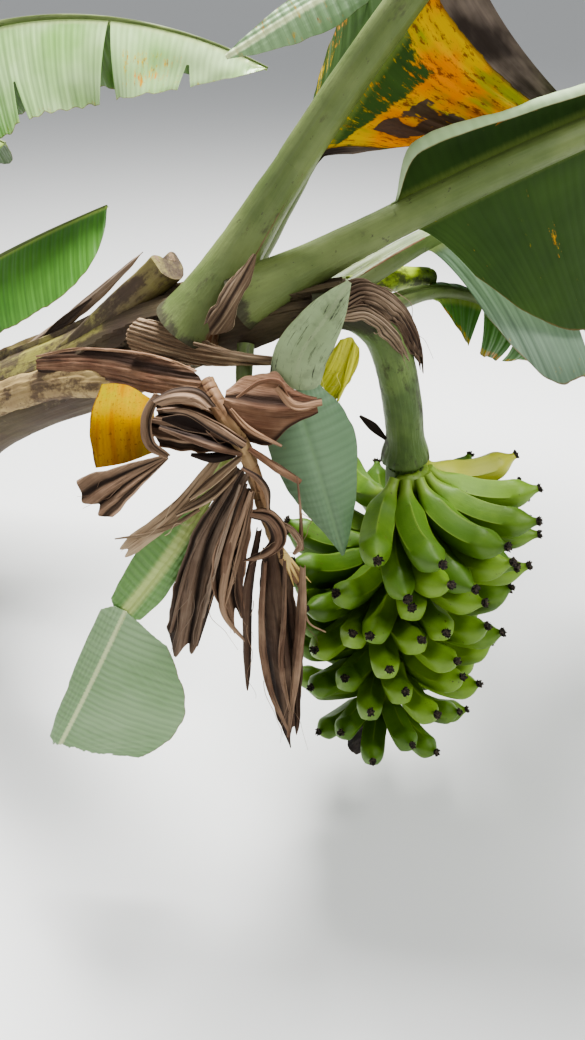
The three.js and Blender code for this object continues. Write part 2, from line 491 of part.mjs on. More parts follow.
// Torn, hanging and dried pieces: thin strips along a line
const TO_FRONT = [vec(0, -1, 0.5)];
const RIBBONS = [
  // A torn piece of the high leaf hangs on its left
  { name: 'high_leaf_lobe', paint: 'leaf_green', cup: 10, thick: 5,
    left: [34, 40, 34, 22, 3], right: [14, 22, 22, 14, 3],
    through: [vec(1348, -836, 1588), vec(1271, -856, 1552), vec(1170, -876, 1500)], faces: TO_FRONT },
  // Brown scales are left on the outside of the bunch's stalk
  { name: 'bunch_scales', paint: 'dry_brown', cup: 30, rows: 8, left: [22, 30, 30, 22, 5],
    through: [vec(1320, -985, 1202), vec(1362, -972, 1217), vec(1418, -948, 1176), vec(1455, -930, 1108),
      vec(1468, -924, 1060)],
    faces: [vec(0.2, -0.5, 0.8), vec(1, -0.2, 0.1)] },
  // The flag leaf hangs in front of the throat
  { name: 'flag_sheath', paint: 'leaf_pale', cup: 18, left: [4, 34, 44, 46, 40], right: [4, 30, 42, 46, 40],
    through: [vec(1340, -1010, 1238), vec(1304, -1022, 1185), vec(1273, -1030, 1140), vec(1262, -1040, 1088)],
    faces: TO_FRONT },
  { name: 'flag_blade', paint: 'leaf_pale', cup: 14, rows: 8, thick: 6, left: [34, 66, 74, 70, 60, 34, 3],
    right: [34, 60, 70, 66, 48, 22, 3],
    through: [vec(1262, -1041, 1086), vec(1283, -1055, 1020), vec(1308, -1060, 930), vec(1345, -1051, 787)],
    faces: TO_FRONT },
  { name: 'flag_strip', paint: 'leaf_yellow', left: [8, 24, 26, 12],
    through: [vec(1348, -990, 1148), vec(1332, -990, 1098), vec(1306, -990, 1052)], faces: TO_FRONT },
  // A small leaf hangs under the crown, narrow at its top and broad below a notch
  { name: 'low_leaf_top', paint: 'leaf_pale', cup: 10, left: [6, 20, 40, 44, 40], right: [8, 30, 44, 46, 26],
    through: [vec(1165, -1026, 968), vec(1112, -1056, 883), vec(1040, -1076, 777), vec(970, -1086, 685)],
    faces: TO_FRONT },
  { name: 'low_leaf_end', paint: 'leaf_pale', cup: 8,
    left: [58, 122, 160, 168, 150, 70], right: [44, 42, 40, 36, 30, 12],
    through: [vec(969, -1087, 683), vec(889, -1101, 519), vec(812, -1106, 366)], faces: TO_FRONT },
  // An old leaf has withered. Its stalk lies along the stem and its rib hangs broken.
  { name: 'dead_leaf_yellow', paint: 'leaf_yellow', cup: 8, left: [46, 52, 44], right: [40, 50, 36],
    through: [vec(1003, -975, 1066), vec(1000, -1030, 1030), vec(1000, -1058, 968)], faces: TO_FRONT },
  { name: 'dead_leaf_crumple', paint: 'dry_brown', cup: -22, rows: 7,
    left: [20, 38, 44, 46, 34], right: [18, 40, 48, 44, 30], faces: [vec(-0.1, -1, 0.6)],
    through: [vec(1156, -1072, 1036), vec(1120, -1064, 1040), vec(1050, -1056, 1016)] },
  { name: 'dead_leaf_lobe', paint: 'dry_brown', cup: 12, faces: TO_FRONT,
    left: [50, 50, 46, 26, 12], right: [24, 46, 48, 34, 14],
    through: [vec(1186, -1072, 1042), vec(1240, -1064, 1066), vec(1300, -1070, 1062)] },
  { name: 'dead_leaf_left', paint: 'dry_brown', cup: -10, faces: TO_FRONT,
    left: [8, 26, 40, 40, 22], right: [8, 24, 30, 30, 14],
    through: [vec(1066, -1064, 982), vec(1003, -1074, 952), vec(942, -1080, 908)] },
  { name: 'dead_strip_1', paint: 'dry_brown', left: [7, 12, 13, 10],
    through: [vec(1143, -1080, 985), vec(1086, -1092, 913), vec(992, -1096, 834)],
    faces: [vec(0.2, -1, 0.3)] },
  { name: 'dead_strip_2', paint: 'dry_brown', cup: 20, left: [10, 20, 28, 29, 22],
    through: [vec(1178, -1096, 968), vec(1122, -1102, 850), vec(1064, -1102, 608)], faces: TO_FRONT },
  { name: 'dead_strip_3', paint: 'dry_brown', cup: -25, left: [8, 16, 21, 18, 6],
    through: [vec(1190, -1112, 930), vec(1160, -1116, 810), vec(1166, -1112, 672)], faces: TO_FRONT },
  { name: 'dead_strip_4', paint: 'dry_brown', cup: 25, rows: 7, left: [12, 28, 32, 26, 8],
    through: [vec(1232, -1112, 836), vec(1243, -1114, 660), vec(1262, -1108, 366)],
    faces: [vec(0.2, -1, 0.2)] },
  { name: 'dead_strip_5', paint: 'dry_brown', cup: -20, left: [8, 12, 14, 12, 5],
    through: [vec(1208, -1120, 890), vec(1184, -1124, 760), vec(1180, -1120, 540)],
    faces: [vec(-0.2, -1, 0.2)] },
  // Old sheaths peel away from the stem
  { name: 'dry_sheath_thin', paint: 'dry_brown', cup: 40, left: [34, 30, 26, 20, 8],
    through: [vec(520, -440, 800), vec(639, -536, 893), vec(874, -696, 1089), vec(1015, -786, 1212)],
    faces: [vec(-0.4, -0.3, 0.8)] },
  { name: 'dry_sheath_striped', paint: 'dry_brown', cup: 24, left: [30, 32, 26, 16, 8],
    through: [vec(1000, -900, 1118), vec(1117, -966, 1112), vec(1240, -994, 1110)],
    faces: [vec(0, -1, 0.2)] },
  { name: 'dry_sheath_low', paint: 'dry_brown', cup: 20, left: [24, 32, 30, 26, 12],
    through: [vec(780, -720, 975), vec(900, -815, 1030), vec(1020, -912, 1048), vec(1150, -1000, 1056)],
    faces: [vec(0.2, -0.8, 0.7)] },
];

// The stalks of the old leaf and of the small one, the broken rib, and a cut leaf's sheath
const flat = (a) => 1 / Math.hypot(Math.cos(a), Math.sin(a) / 0.55);
put('low_leaf_stalk', 'stalk_green', plainLimb({
  through: [vec(1188, -950, 1120), vec(1182, -1000, 1050), vec(1166, -1026, 969)] }, 14, 9, 8, 4));
put('dead_leaf_stalk', 'leaf_yellow', (grow) => limb({
  curve: line({ through: [vec(400, -360, 640), vec(520, -500, 765), vec(666, -636, 872),
    vec(856, -786, 982), vec(1000, -908, 1040), vec(1080, -980, 1074)] }),
  face: vec(0, -1, 0.6), sides: 10, rings: 8, outline: flat, radius: (f) => mix(38, 16, f) }, grow));
put('dead_leaf_rib', 'dry_brown', plainLimb({
  through: [vec(1129, -1021, 1090), vec(1170, -1072, 1042), vec(1196, -1087, 991), vec(1222, -1098, 888),
    vec(1248, -1100, 813), vec(1276, -1098, 765)] }, 14, 8, 8, 8));
put('stub_sheath', 'stalk_green', (grow) => limb({
  curve: line({ through: [vec(730, -600, 900), vec(816, -676, 961), vec(988, -806, 1138),
    vec(1062, -838, 1211)] }),
  face: vec(-0.3, 0.3, 0.8), sides: 10, rings: 6, outline: gutter,
  radius: (f) => mix(56, 31, f ** 0.6) }, grow));
for (const { name, paint, ...spec } of RIBBONS) put(name, paint, (grow) => ribbon(spec, grow));

export default group;
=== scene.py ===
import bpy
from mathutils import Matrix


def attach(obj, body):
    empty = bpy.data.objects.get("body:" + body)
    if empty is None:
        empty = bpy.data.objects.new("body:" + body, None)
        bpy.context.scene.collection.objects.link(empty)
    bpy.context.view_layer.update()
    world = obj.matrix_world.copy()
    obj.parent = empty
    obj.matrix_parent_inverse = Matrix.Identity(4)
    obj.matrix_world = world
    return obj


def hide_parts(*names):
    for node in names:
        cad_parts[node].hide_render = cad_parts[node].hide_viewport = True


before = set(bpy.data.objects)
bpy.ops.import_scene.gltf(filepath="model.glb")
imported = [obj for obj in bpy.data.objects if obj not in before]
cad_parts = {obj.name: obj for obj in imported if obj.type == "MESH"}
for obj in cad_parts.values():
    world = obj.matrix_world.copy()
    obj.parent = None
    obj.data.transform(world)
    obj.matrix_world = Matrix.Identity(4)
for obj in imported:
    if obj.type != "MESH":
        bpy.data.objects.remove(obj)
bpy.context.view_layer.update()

import math
import bpy
import numpy as np

mm = 0.001
print("frame loaded:", len(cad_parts), "nodes")


# Camera, floor and light

camera = {"place": (1.26, -2.136, 1.62), "pitch": 35, "lens": 28.25, "sensor": 36}
studio = {
    "floor": 100, "floorColour": (0.80, 0.80, 0.78), "floorRough": 0.9,
    "sky": (0.93, 0.96, 1.0), "skyStrength": 0.42,
    "lamps": [  # place, what it points at, size, power
        ((1.4, 0.7, 5.2), (1.2, -0.7, 1.0), 1.8, 700),
        ((3.8, -2.0, 3.8), (1.4, -0.9, 0.7), 1.6, 110),
        ((-2.6, -2.6, 3.2), (0.6, -0.6, 0.9), 2.6, 35)],
    "contrast": "AgX - Medium High Contrast"}


def makeCamera(place, pitch, lens, sensor):  # level from side to side, turned down from the horizon by the pitch
    data = bpy.data.cameras.new("camera")
    data.lens = lens
    data.sensor_width = sensor
    holder = bpy.data.objects.new("camera", data)
    holder.location = place
    holder.rotation_euler = (math.radians(90 - pitch), 0, 0)
    bpy.context.scene.collection.objects.link(holder)
    bpy.context.scene.camera = holder


def makeStudio(floor, floorColour, floorRough, sky, skyStrength, lamps, contrast):
    # A square floor, an even sky and square lamps, each turned from straight down to its aim
    half = floor / 2
    mesh = bpy.data.meshes.new("floor")
    mesh.from_pydata([(-half, -half, 0), (half, -half, 0), (half, half, 0), (-half, half, 0)],
                     [], [(0, 1, 2, 3)])
    plane = bpy.data.objects.new("floor", mesh)
    bpy.context.scene.collection.objects.link(plane)
    paint = bpy.data.materials.new("floor")
    paint.use_nodes = True
    skin = paint.node_tree.nodes["Principled BSDF"]
    skin.inputs["Base Color"].default_value = (*floorColour, 1)
    skin.inputs["Roughness"].default_value = floorRough
    mesh.materials.append(paint)
    world = bpy.data.worlds.new("studio")
    world.use_nodes = True
    world.node_tree.nodes["Background"].inputs["Color"].default_value = (*sky, 1)
    world.node_tree.nodes["Background"].inputs["Strength"].default_value = skyStrength
    bpy.context.scene.world = world
    bpy.context.scene.view_settings.look = contrast
    for k, (place, aim, size, power) in enumerate(lamps):
        data = bpy.data.lights.new(f"lamp{k}", "AREA")
        data.size = size
        data.energy = power
        lamp = bpy.data.objects.new(f"lamp{k}", data)
        back = np.array(place) - np.array(aim)
        lamp.location = place
        lamp.rotation_euler = (math.acos(back[2] / np.linalg.norm(back)), 0, math.atan2(back[0], -back[1]))
        bpy.context.scene.collection.objects.link(lamp)


makeCamera(**camera)
makeStudio(**studio)
print("camera, floor and lamps stand")


# Shader maths: a socket that can be added, multiplied and so on

class Signal:  # the output of a node of one paint
    def __init__(self, paint, socket):
        self.paint = paint
        self.socket = socket

    def maths(self, operation, first, second=0.0):
        return self.paint.node("ShaderNodeMath", {"operation": operation}, {0: first, 1: second})

    def __add__(self, other):
        return self.maths("ADD", self, other)

    def __sub__(self, other):
        return self.maths("SUBTRACT", self, other)

    def __rsub__(self, other):
        return self.maths("SUBTRACT", other, self)

    def __mul__(self, other):
        return self.maths("MULTIPLY", self, other)

    __radd__ = __add__
    __rmul__ = __mul__

    def sine(self):
        return self.maths("SINE", self)

    def size(self):
        return self.maths("ABSOLUTE", self)

    def sway(self, amount):  # noise about its middle value, times an amount
        return (self - 0.5) * amount

    def step(self, low, high):  # 0 below low, 1 above high, smooth between
        return self.paint.node("ShaderNodeMapRange", {"interpolation_type": "SMOOTHSTEP"},
                               {"Value": self, "From Min": low, "From Max": high})


class Paint:  # one material, whose nodes are added by its methods
    def __init__(self, name, **constants):
        self.material = bpy.data.materials.new(name)
        self.material.use_nodes = True
        self.tree = self.material.node_tree
        self.skin = self.tree.nodes["Principled BSDF"]
        for socket, value in constants.items():
            self.skin.inputs[socket.replace("_", " ")].default_value = value

    def node(self, kind, settings=None, inputs=None, output=0):
        made = self.tree.nodes.new(kind)
        for key, value in (settings or {}).items():
            setattr(made, key, value)
        for key, value in (inputs or {}).items():
            if isinstance(value, Signal):
                self.tree.links.new(value.socket, made.inputs[key])
            else:
                made.inputs[key].default_value = value
        return Signal(self, made.outputs[output])

    def place(self):  # where the point is on the object
        return self.node("ShaderNodeTexCoord", output="Object")

    def map(self, name):  # the three numbers of one of the piece's own maps
        found = self.node("ShaderNodeAttribute", {"attribute_name": name}, output="Vector")
        apart = self.node("ShaderNodeSeparateXYZ", inputs={0: found}).socket.node
        return [Signal(self, apart.outputs[k]) for k in range(3)]

    def join(self, x, y, z=0.0):
        return self.node("ShaderNodeCombineXYZ", inputs={0: x, 1: y, 2: z})

    def noise(self, vector, scale, detail=3.0, rough=0.55):
        return self.node("ShaderNodeTexNoise", None, {
            "Vector": vector, "Scale": scale, "Detail": detail, "Roughness": rough})

    def grain(self, parts, rates, detail=3.0, rough=0.55):
        # Noise drawn out along the piece: each of the map's numbers is multiplied by its own rate
        return self.noise(self.join(*[part * rate for part, rate in zip(parts, rates)]), 1.0, detail, rough)

    def mix(self, share, first, second):  # of two colours, which are a Mix node's inputs 6 and 7 and output 2
        full = [value if isinstance(value, Signal) else (*value, 1.0) for value in (first, second)]
        return self.node("ShaderNodeMix", {"data_type": "RGBA"}, {0: share, 6: full[0], 7: full[1]}, output=2)

    def shade(self, colour, amount):  # a colour times a number
        return self.node("ShaderNodeVectorMath", {"operation": "SCALE"}, {0: colour, "Scale": amount})

    def finish(self, colour, roughness, height, depth):
        self.tree.links.new(colour.socket, self.skin.inputs["Base Color"])
        self.tree.links.new(roughness.socket, self.skin.inputs["Roughness"])
        bump = self.node("ShaderNodeBump", None, {"Height": height, "Distance": depth, "Strength": 1.0})
        self.tree.links.new(bump.socket, self.skin.inputs["Normal"])
        return self.material


# Curves and surfaces

hashing = {"weights": (127.1, 311.7, 74.7), "perSeed": 53.31, "spread": 43758.5453}
lineSteps = {"points": 400, "perSpan": 24, "bowed": 28}
sharpAngle = 50
tiny = 1e-12


def unit(v):  # each row over its own length
    return v / np.linalg.norm(v, axis=-1, keepdims=True)


def smooth(t):  # from 0 to 1 with level ends: three squares less two cubes
    return t * t * (3 - 2 * t)


def ease(x, low, high):  # 0 below low, 1 above high, smooth between
    return smooth(np.clip((x - low) / (high - low), 0, 1))


def span(b, c, m, n, t):  # the cubic from b to c that leaves b at the rate m and arrives at c at the rate n
    return b + m * t + (3 * c - 3 * b - 2 * m - n) * t**2 + (2 * b - 2 * c + m + n) * t**3


def flow(values, share):
    # A smooth course through a list of values: each span leaves and arrives at half its neighbours' difference
    v = np.asarray(values, float)
    v = np.concatenate([[2 * v[0] - v[1]], v, [2 * v[-1] - v[-2]]])
    x = np.clip(share, 0, 1) * (len(values) - 1)
    i = np.minimum(np.floor(x).astype(int), len(values) - 2)
    t = x - i
    a, b, c, d = v[i], v[i + 1], v[i + 2], v[i + 3]
    return span(b, c, (c - a) / 2, (d - b) / 2, t)


def chance(cell, seed=0):
    # A fixed random number from -1 to 1 for each cell: the broken part of a sine many thousands high
    turned = np.asarray(cell, float) @ np.array(hashing["weights"]) + seed * hashing["perSeed"]
    n = np.sin(turned) * hashing["spread"]
    return 2 * (n - np.floor(n)) - 1


def roll(x, y=0.0, z=0.0, seed=0):
    # Smooth random hills: the corners of each lattice cell blended by an eased share
    p = np.stack(np.broadcast_arrays(x, y, z), axis=-1).astype(float)
    low = np.floor(p)
    f = smooth(p - low)
    total = 0
    for corner in np.ndindex(2, 2, 2):
        total = total + np.prod(np.where(corner, f, 1 - f), axis=-1) * chance(low + corner, seed)
    return total


def evenly(points, count):  # points spread evenly along a polyline of many small steps
    at = np.concatenate([[0], np.cumsum(np.linalg.norm(np.diff(points, axis=0), axis=1))])
    return np.stack([np.interp(np.linspace(0, at[-1], count), at, points[:, k]) for k in range(3)], axis=1)


def smoothLine(points):
    # Spans through the points, whose rates weigh the neighbours by the root of their distance
    p = np.asarray(points, float)
    p = np.vstack([2 * p[0] - p[1], p, 2 * p[-1] - p[-2]])
    t = np.linspace(0, 1, lineSteps["perSpan"], endpoint=False)[:, None]
    spans = []
    for a, b, c, d in zip(p, p[1:], p[2:], p[3:]):
        ab, bc, cd = (np.linalg.norm(q - r) ** 0.5 for q, r in ((b, a), (c, b), (d, c)))
        m = ((b - a) / ab - (c - a) / (ab + bc) + (c - b) / bc) * bc
        n = ((c - b) / bc - (d - b) / (bc + cd) + (d - c) / cd) * bc
        spans.append(span(b, c, m, n, t))
    return evenly(np.vstack([*spans, p[-2:-1]]), lineSteps["points"])


def makeLine(through=None, start=None, heading=0, rise=0, fall=0, turn=0, sag=1, veer=2, length=0):
    # Through given points, or setting out at a rise and heading in degrees, bowing down by fall with the share
    # to the power sag, and turning by turn with the share to the power veer
    if through is not None:
        return smoothLine(np.array(through) * mm)
    steps = lineSteps["bowed"]
    f = (np.arange(steps) + 0.5) / steps
    up = np.radians(rise - fall * f**sag)
    around = np.radians(heading + turn * f**veer)
    way = np.stack([np.cos(up) * np.cos(around), np.cos(up) * np.sin(around), np.sin(up)], axis=1)
    path = np.vstack([[start], start + np.cumsum(way * length / steps, axis=0)])
    return smoothLine(path * mm)


class Rail:
    # A centreline with its direction, upper side and right-hand side, read at any shares of its length.
    # The upper side turns through the faces beyond the share held.
    def __init__(self, line, faces, held=0.0):
        faces = np.array(faces, float).reshape(-1, 3)
        spots = np.linspace(0, 1, len(line))
        share = np.clip((spots - held) / (1 - held), 0, 1)[:, None]
        stops = np.linspace(0, 1, len(faces))
        face = np.stack([np.interp(share[:, 0], stops, faces[:, k]) for k in range(3)], axis=1)
        along = unit(np.gradient(line, axis=0))
        up = unit(face - along * (face * along).sum(axis=1, keepdims=True))
        self.length = np.linalg.norm(np.diff(line, axis=0), axis=1).sum()
        self.spots = spots
        self.tables = [line, along, up, np.cross(along, up)]

    def read(self, share):
        return [np.stack([np.interp(share, self.spots, table[:, k]) for k in range(3)], axis=-1)
                for table in self.tables]


def tubeFaces(rings, sides):  # quads round a tube, and the loops of its two ends
    index = np.arange(rings * sides).reshape(rings, sides)
    turned = np.roll(index, -1, axis=1)
    around = np.stack([index[:-1], index[1:], turned[1:], turned[:-1]], axis=-1).reshape(-1, 4)
    return [around, index[:1], index[-1:, ::-1]]


def sheetFaces(rows, columns, gone):  # upper and lower skin over a grid, and a wall round every edge and tear
    index = np.arange(rows * columns).reshape(rows, columns)
    there = ~gone
    low = rows * columns
    a, b, c, d = index[:-1, :-1], index[1:, :-1], index[1:, 1:], index[:-1, 1:]
    quads = [np.stack([a, d, c, b], -1)[there], np.stack([a, b, c, d], -1)[there] + low]
    beside = np.pad(there, 1)
    for down, right, p, q in ((0, -1, a, b), (1, 0, b, c), (0, 1, c, d), (-1, 0, d, a)):
        rim = there & ~beside[1 + down:rows + down, 1 + right:columns + right]
        p, q = p[rim], q[rim]
        quads.append(np.stack([p, q, q + low, p + low], -1))
    return [np.vstack(quads)]


def sheetShell(points, thick, gone, maps, lowMaps=None):
    # The middle surface, moved out by half the thickness along its normal on both sides
    rows, columns = points.shape[:2]
    normal = unit(np.cross(np.gradient(points, axis=1), np.gradient(points, axis=0)) + tiny)
    offset = normal * np.broadcast_to(thick, (rows, columns))[..., None] / 2
    both = np.concatenate([(points + offset).reshape(-1, 3), (points - offset).reshape(-1, 3)])
    joined = {}
    for key, above in maps.items():
        below = (lowMaps or maps)[key]
        joined[key] = [np.concatenate([np.broadcast_to(c, (rows, columns)).ravel() for c in pair])
                       for pair in zip(above, below)]
    return both, sheetFaces(rows, columns, gone), joined


def shellVolume(points, faces):  # six times the volume: each face's fan of triangles against the origin
    total = 0.0
    for f in faces:
        for k in range(1, f.shape[1] - 1):
            total += np.einsum("ij,ij->", points[f[:, 0]], np.cross(points[f[:, k]], points[f[:, k + 1]]))
    return total


def makePiece(name, shells, paint, nodes=None):
    # One object at the origin from closed shells, each with its points, its faces and its maps. A shell whose
    # volume comes out below 0 has its faces turned round, and points that no face uses are left out.
    points, corners, sizes, maps, start = [], [], [], {}, 0
    for shellPoints, faces, shellMaps in shells:
        flat = np.asarray(shellPoints, float).reshape(-1, 3)
        if shellVolume(flat - flat.mean(axis=0), faces) < 0:
            faces = [f[:, ::-1] for f in faces]
        used = np.unique(np.concatenate([f.ravel() for f in faces]))
        renumber = np.zeros(len(flat), int)
        renumber[used] = np.arange(len(used)) + start
        corners += [renumber[f].ravel() for f in faces]
        sizes += [np.full(len(f), f.shape[1]) for f in faces]
        points.append(flat[used])
        for key, columns in shellMaps.items():
            whole = np.stack([np.broadcast_to(c, np.shape(shellPoints)[:-1]).ravel() for c in columns], axis=1)
            maps.setdefault(key, []).append(whole[used])
        start += len(used)
    corners, sizes = np.concatenate(corners), np.concatenate(sizes)
    mesh = bpy.data.meshes.new(name)
    mesh.vertices.add(start)
    mesh.vertices.foreach_set("co", np.vstack(points).astype(np.float32).ravel())
    mesh.loops.add(len(corners))
    mesh.loops.foreach_set("vertex_index", corners.astype(np.int32))
    mesh.polygons.add(len(sizes))
    mesh.polygons.foreach_set("loop_start", (np.cumsum(sizes) - sizes).astype(np.int32))
    mesh.update(calc_edges=True)
    for key, parts in maps.items():
        held = mesh.attributes.new(key, "FLOAT_VECTOR", "POINT")
        held.data.foreach_set("vector", np.vstack(parts).astype(np.float32).ravel())
    mesh.polygons.foreach_set("use_smooth", np.ones(len(sizes), bool))
    mesh.set_sharp_from_angle(angle=math.radians(sharpAngle))
    mesh.materials.append(paints[paint])
    piece = bpy.data.objects.new(name, mesh)
    bpy.context.scene.collection.objects.link(piece)
    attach(piece, "root")
    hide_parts(*(nodes or [name]))


# Finishes. What changes over a surface comes from the piece's own maps and from noise. A rate is how many cells of
# noise lie in a metre: one for all ways, or one for each number of the map. A third rate of 1 goes with a fixed
# number that sets one pattern apart from another.

leafGrain = {"veins": (5, 210), "runs": (9, 34), "grain": (60, 170), "flecks": (40, 95), "islands": (11, 17, 1),
             "folds": (14, 20, 1), "scratches": (170, 15), "bands": 430, "broad": 5.0, "fine": 42.0}
leafMarks = {
    "orange": (0.62, 0.20, 0.002), "gold": (0.52, 0.33, 0.004), "turning": (0.17, 0.25, 0.006),
    "fleck": (0.12, 0.030, 0.005), "rust": (0.30, 0.12, 0.015), "scorched": (0.018, 0.010, 0.008),
    "singed": (0.075, 0.050, 0.038), "witheredRim": (0.10, 0.030, 0.010), "huskDark": (0.030, 0.021, 0.016),
    "huskPale": (0.150, 0.118, 0.092), "margin": (0.16, 0.09, 0.035), "scratch": (0.025, 0.024, 0.016)}
leafSkins = {
    "greenLeaf": dict(top=(0.105, 0.26, 0.045), deepTop=(0.055, 0.165, 0.026), below=(0.070, 0.145, 0.030),
                      deepBelow=(0.045, 0.105, 0.020), rib=(0.32, 0.42, 0.10)),
    # The crown leaves' whitish top is a painted highlight of glare, and their near-black underside is painted shade
    "crownLeaf": dict(top=(0.46, 0.56, 0.36), deepTop=(0.30, 0.42, 0.20), below=(0.038, 0.082, 0.010),
                      deepBelow=(0.021, 0.052, 0.006), rib=(0.13, 0.18, 0.035), gloss=0.55, ribbed=0.45,
                      shine=0.22),
    # The arching leaf's pale top is a painted highlight of glare from the light above
    "brightLeaf": dict(top=(0.40, 0.54, 0.27), deepTop=(0.20, 0.36, 0.10), below=(0.10, 0.20, 0.035),
                       deepBelow=(0.06, 0.14, 0.022), rib=(0.42, 0.52, 0.22), gloss=0.24),
    "paleLeaf": dict(top=(0.25, 0.37, 0.19), deepTop=(0.17, 0.29, 0.12), below=(0.26, 0.38, 0.20),
                     deepBelow=(0.18, 0.30, 0.135), rib=(0.60, 0.66, 0.36), gloss=0.4, ribEdge=0.006),
    "blueLeaf": dict(top=(0.140, 0.205, 0.135), deepTop=(0.092, 0.148, 0.090), below=(0.055, 0.11, 0.022),
                     deepBelow=(0.085, 0.16, 0.02), rib=(0.30, 0.36, 0.12), gloss=0.36, ribbed=0.7),
    "scratchedLeaf": dict(top=(0.30, 0.37, 0.20), deepTop=(0.23, 0.30, 0.15), below=(0.30, 0.37, 0.20),
                          deepBelow=(0.22, 0.29, 0.14), rib=(0.30, 0.36, 0.20), gloss=0.45, ribEdge=0.004,
                          scratched=1.0, ribbed=0.15),
    "youngLeaf": dict(top=(0.155, 0.30, 0.085), deepTop=(0.105, 0.22, 0.055), rib=(0.50, 0.58, 0.20), gloss=0.4),
    "flagLeaf": dict(top=(0.155, 0.250, 0.135), deepTop=(0.100, 0.185, 0.090), rib=(0.155, 0.255, 0.125),
                     gloss=0.45, ribEdge=0.004, ribbed=0.7),
}


def leafFinish(name, top, deepTop, rib, below=None, deepBelow=None, gloss=0.32, ribEdge=0.016, scratched=0.0,
               ribbed=1.0, shine=0.5):
    # leafPlace: metres across, metres along, share from rib to margin.
    # leafState: 0 above and 1 below, yellowing (past 1 it scorches), withering.
    paint = Paint(name, Specular_IOR_Level=shine)
    across, along, share = paint.map("leafPlace")
    under, yellow, dry = paint.map("leafState")
    skin, spot, rates, marks = (across, along), paint.place(), leafGrain, leafMarks
    veins = paint.grain(skin, rates["veins"], 2.0)
    broad = paint.noise(spot, rates["broad"], 3.0)
    fine = paint.noise(spot, rates["fine"], 4.0, 0.65)
    bands = (along * rates["bands"]).sine() * 0.5 + 0.5
    deeper = broad.step(0.3, 0.7)
    green = paint.mix(under, paint.mix(deeper, top, deepTop), paint.mix(deeper, below or top, deepBelow or deepTop))
    green = paint.shade(green, 1 + (veins * 0.30 + bands * 0.16 - 0.24) * ribbed)
    nearRib = 1 - (across.size() + veins.sway(0.006)).step(0.3 * ribEdge, ribEdge)
    green = paint.mix(nearRib * 0.8, green, rib)
    # Yellowing runs along the veins, from gold to orange with red-brown flecks in it
    runs = paint.grain(skin, rates["runs"], 4.0, 0.6)
    grain = paint.grain(skin, rates["grain"], 3.0, 0.7)
    turned = (yellow + runs.sway(0.8) + fine.sway(0.6) + grain.sway(1.1)).step(0.40, 0.66)
    amber = paint.mix(paint.noise(spot, 14.0, 3.0).step(0.38, 0.60), marks["orange"], marks["gold"])
    amber = paint.mix((broad + runs * 0.6).step(0.84, 0.96) * 0.75, amber, marks["turning"])
    flecks = paint.grain(skin, rates["flecks"], 5.0, 0.75).step(0.52, 0.62)
    colour = paint.mix(turned, green, paint.mix(flecks * 0.85, amber, marks["fleck"]))
    spots = (fine + grain * 0.5).step(1.02, 1.08) * yellow.step(0.04, 0.12)
    colour = paint.mix(spots * 0.8, colour, marks["rust"])
    # Scorched islands lie along the veins where the yellowing passes 1
    islands = paint.grain((across, along, 4.0), rates["islands"], 4.0, 0.6)
    scorch = ((yellow - 1.0) + islands.sway(2.4)).step(0.36, 0.44) * yellow.step(0.9, 1.1)
    colour = paint.mix(scorch * 0.95, colour, paint.mix(grain, marks["scorched"], marks["singed"]))
    # Withered parts are grey-brown with a dark rim and a silky fold
    gone = (dry + runs.sway(0.30) + fine.sway(0.2)).step(0.46, 0.52)
    rim = (dry + runs.sway(0.30)).step(0.30, 0.44) * (1 - gone)
    colour = paint.mix(rim * 0.6, colour, marks["witheredRim"])
    folds = paint.grain((across, along, 2.0), rates["folds"], 3.0, 0.5)
    husk = paint.mix(folds.step(0.35, 0.68), marks["huskDark"], marks["huskPale"])
    colour = paint.mix(gone, colour, paint.shade(husk, 0.7 + veins * 0.6))
    margin = (share + runs.sway(0.02)).step(0.986, 0.997)
    colour = paint.mix(margin * 0.7, colour, marks["margin"])
    if scratched:
        scratches = paint.grain(skin, rates["scratches"], 4.0, 0.75).step(0.56, 0.61)
        smudges = paint.noise(spot, 24.0, 4.0, 0.7).step(0.48, 0.62)
        marred = scratches * 0.5 + smudges * 0.25 + scratches * smudges * 0.3
        colour = paint.mix(marred * scratched, colour, marks["scratch"])
    rough = gloss + fine * 0.22 + gone * 0.12
    return paint.finish(colour, rough, (bands * 0.45 + veins * 0.5) * ribbed + gone * folds * 2.0, 1.4 * mm)


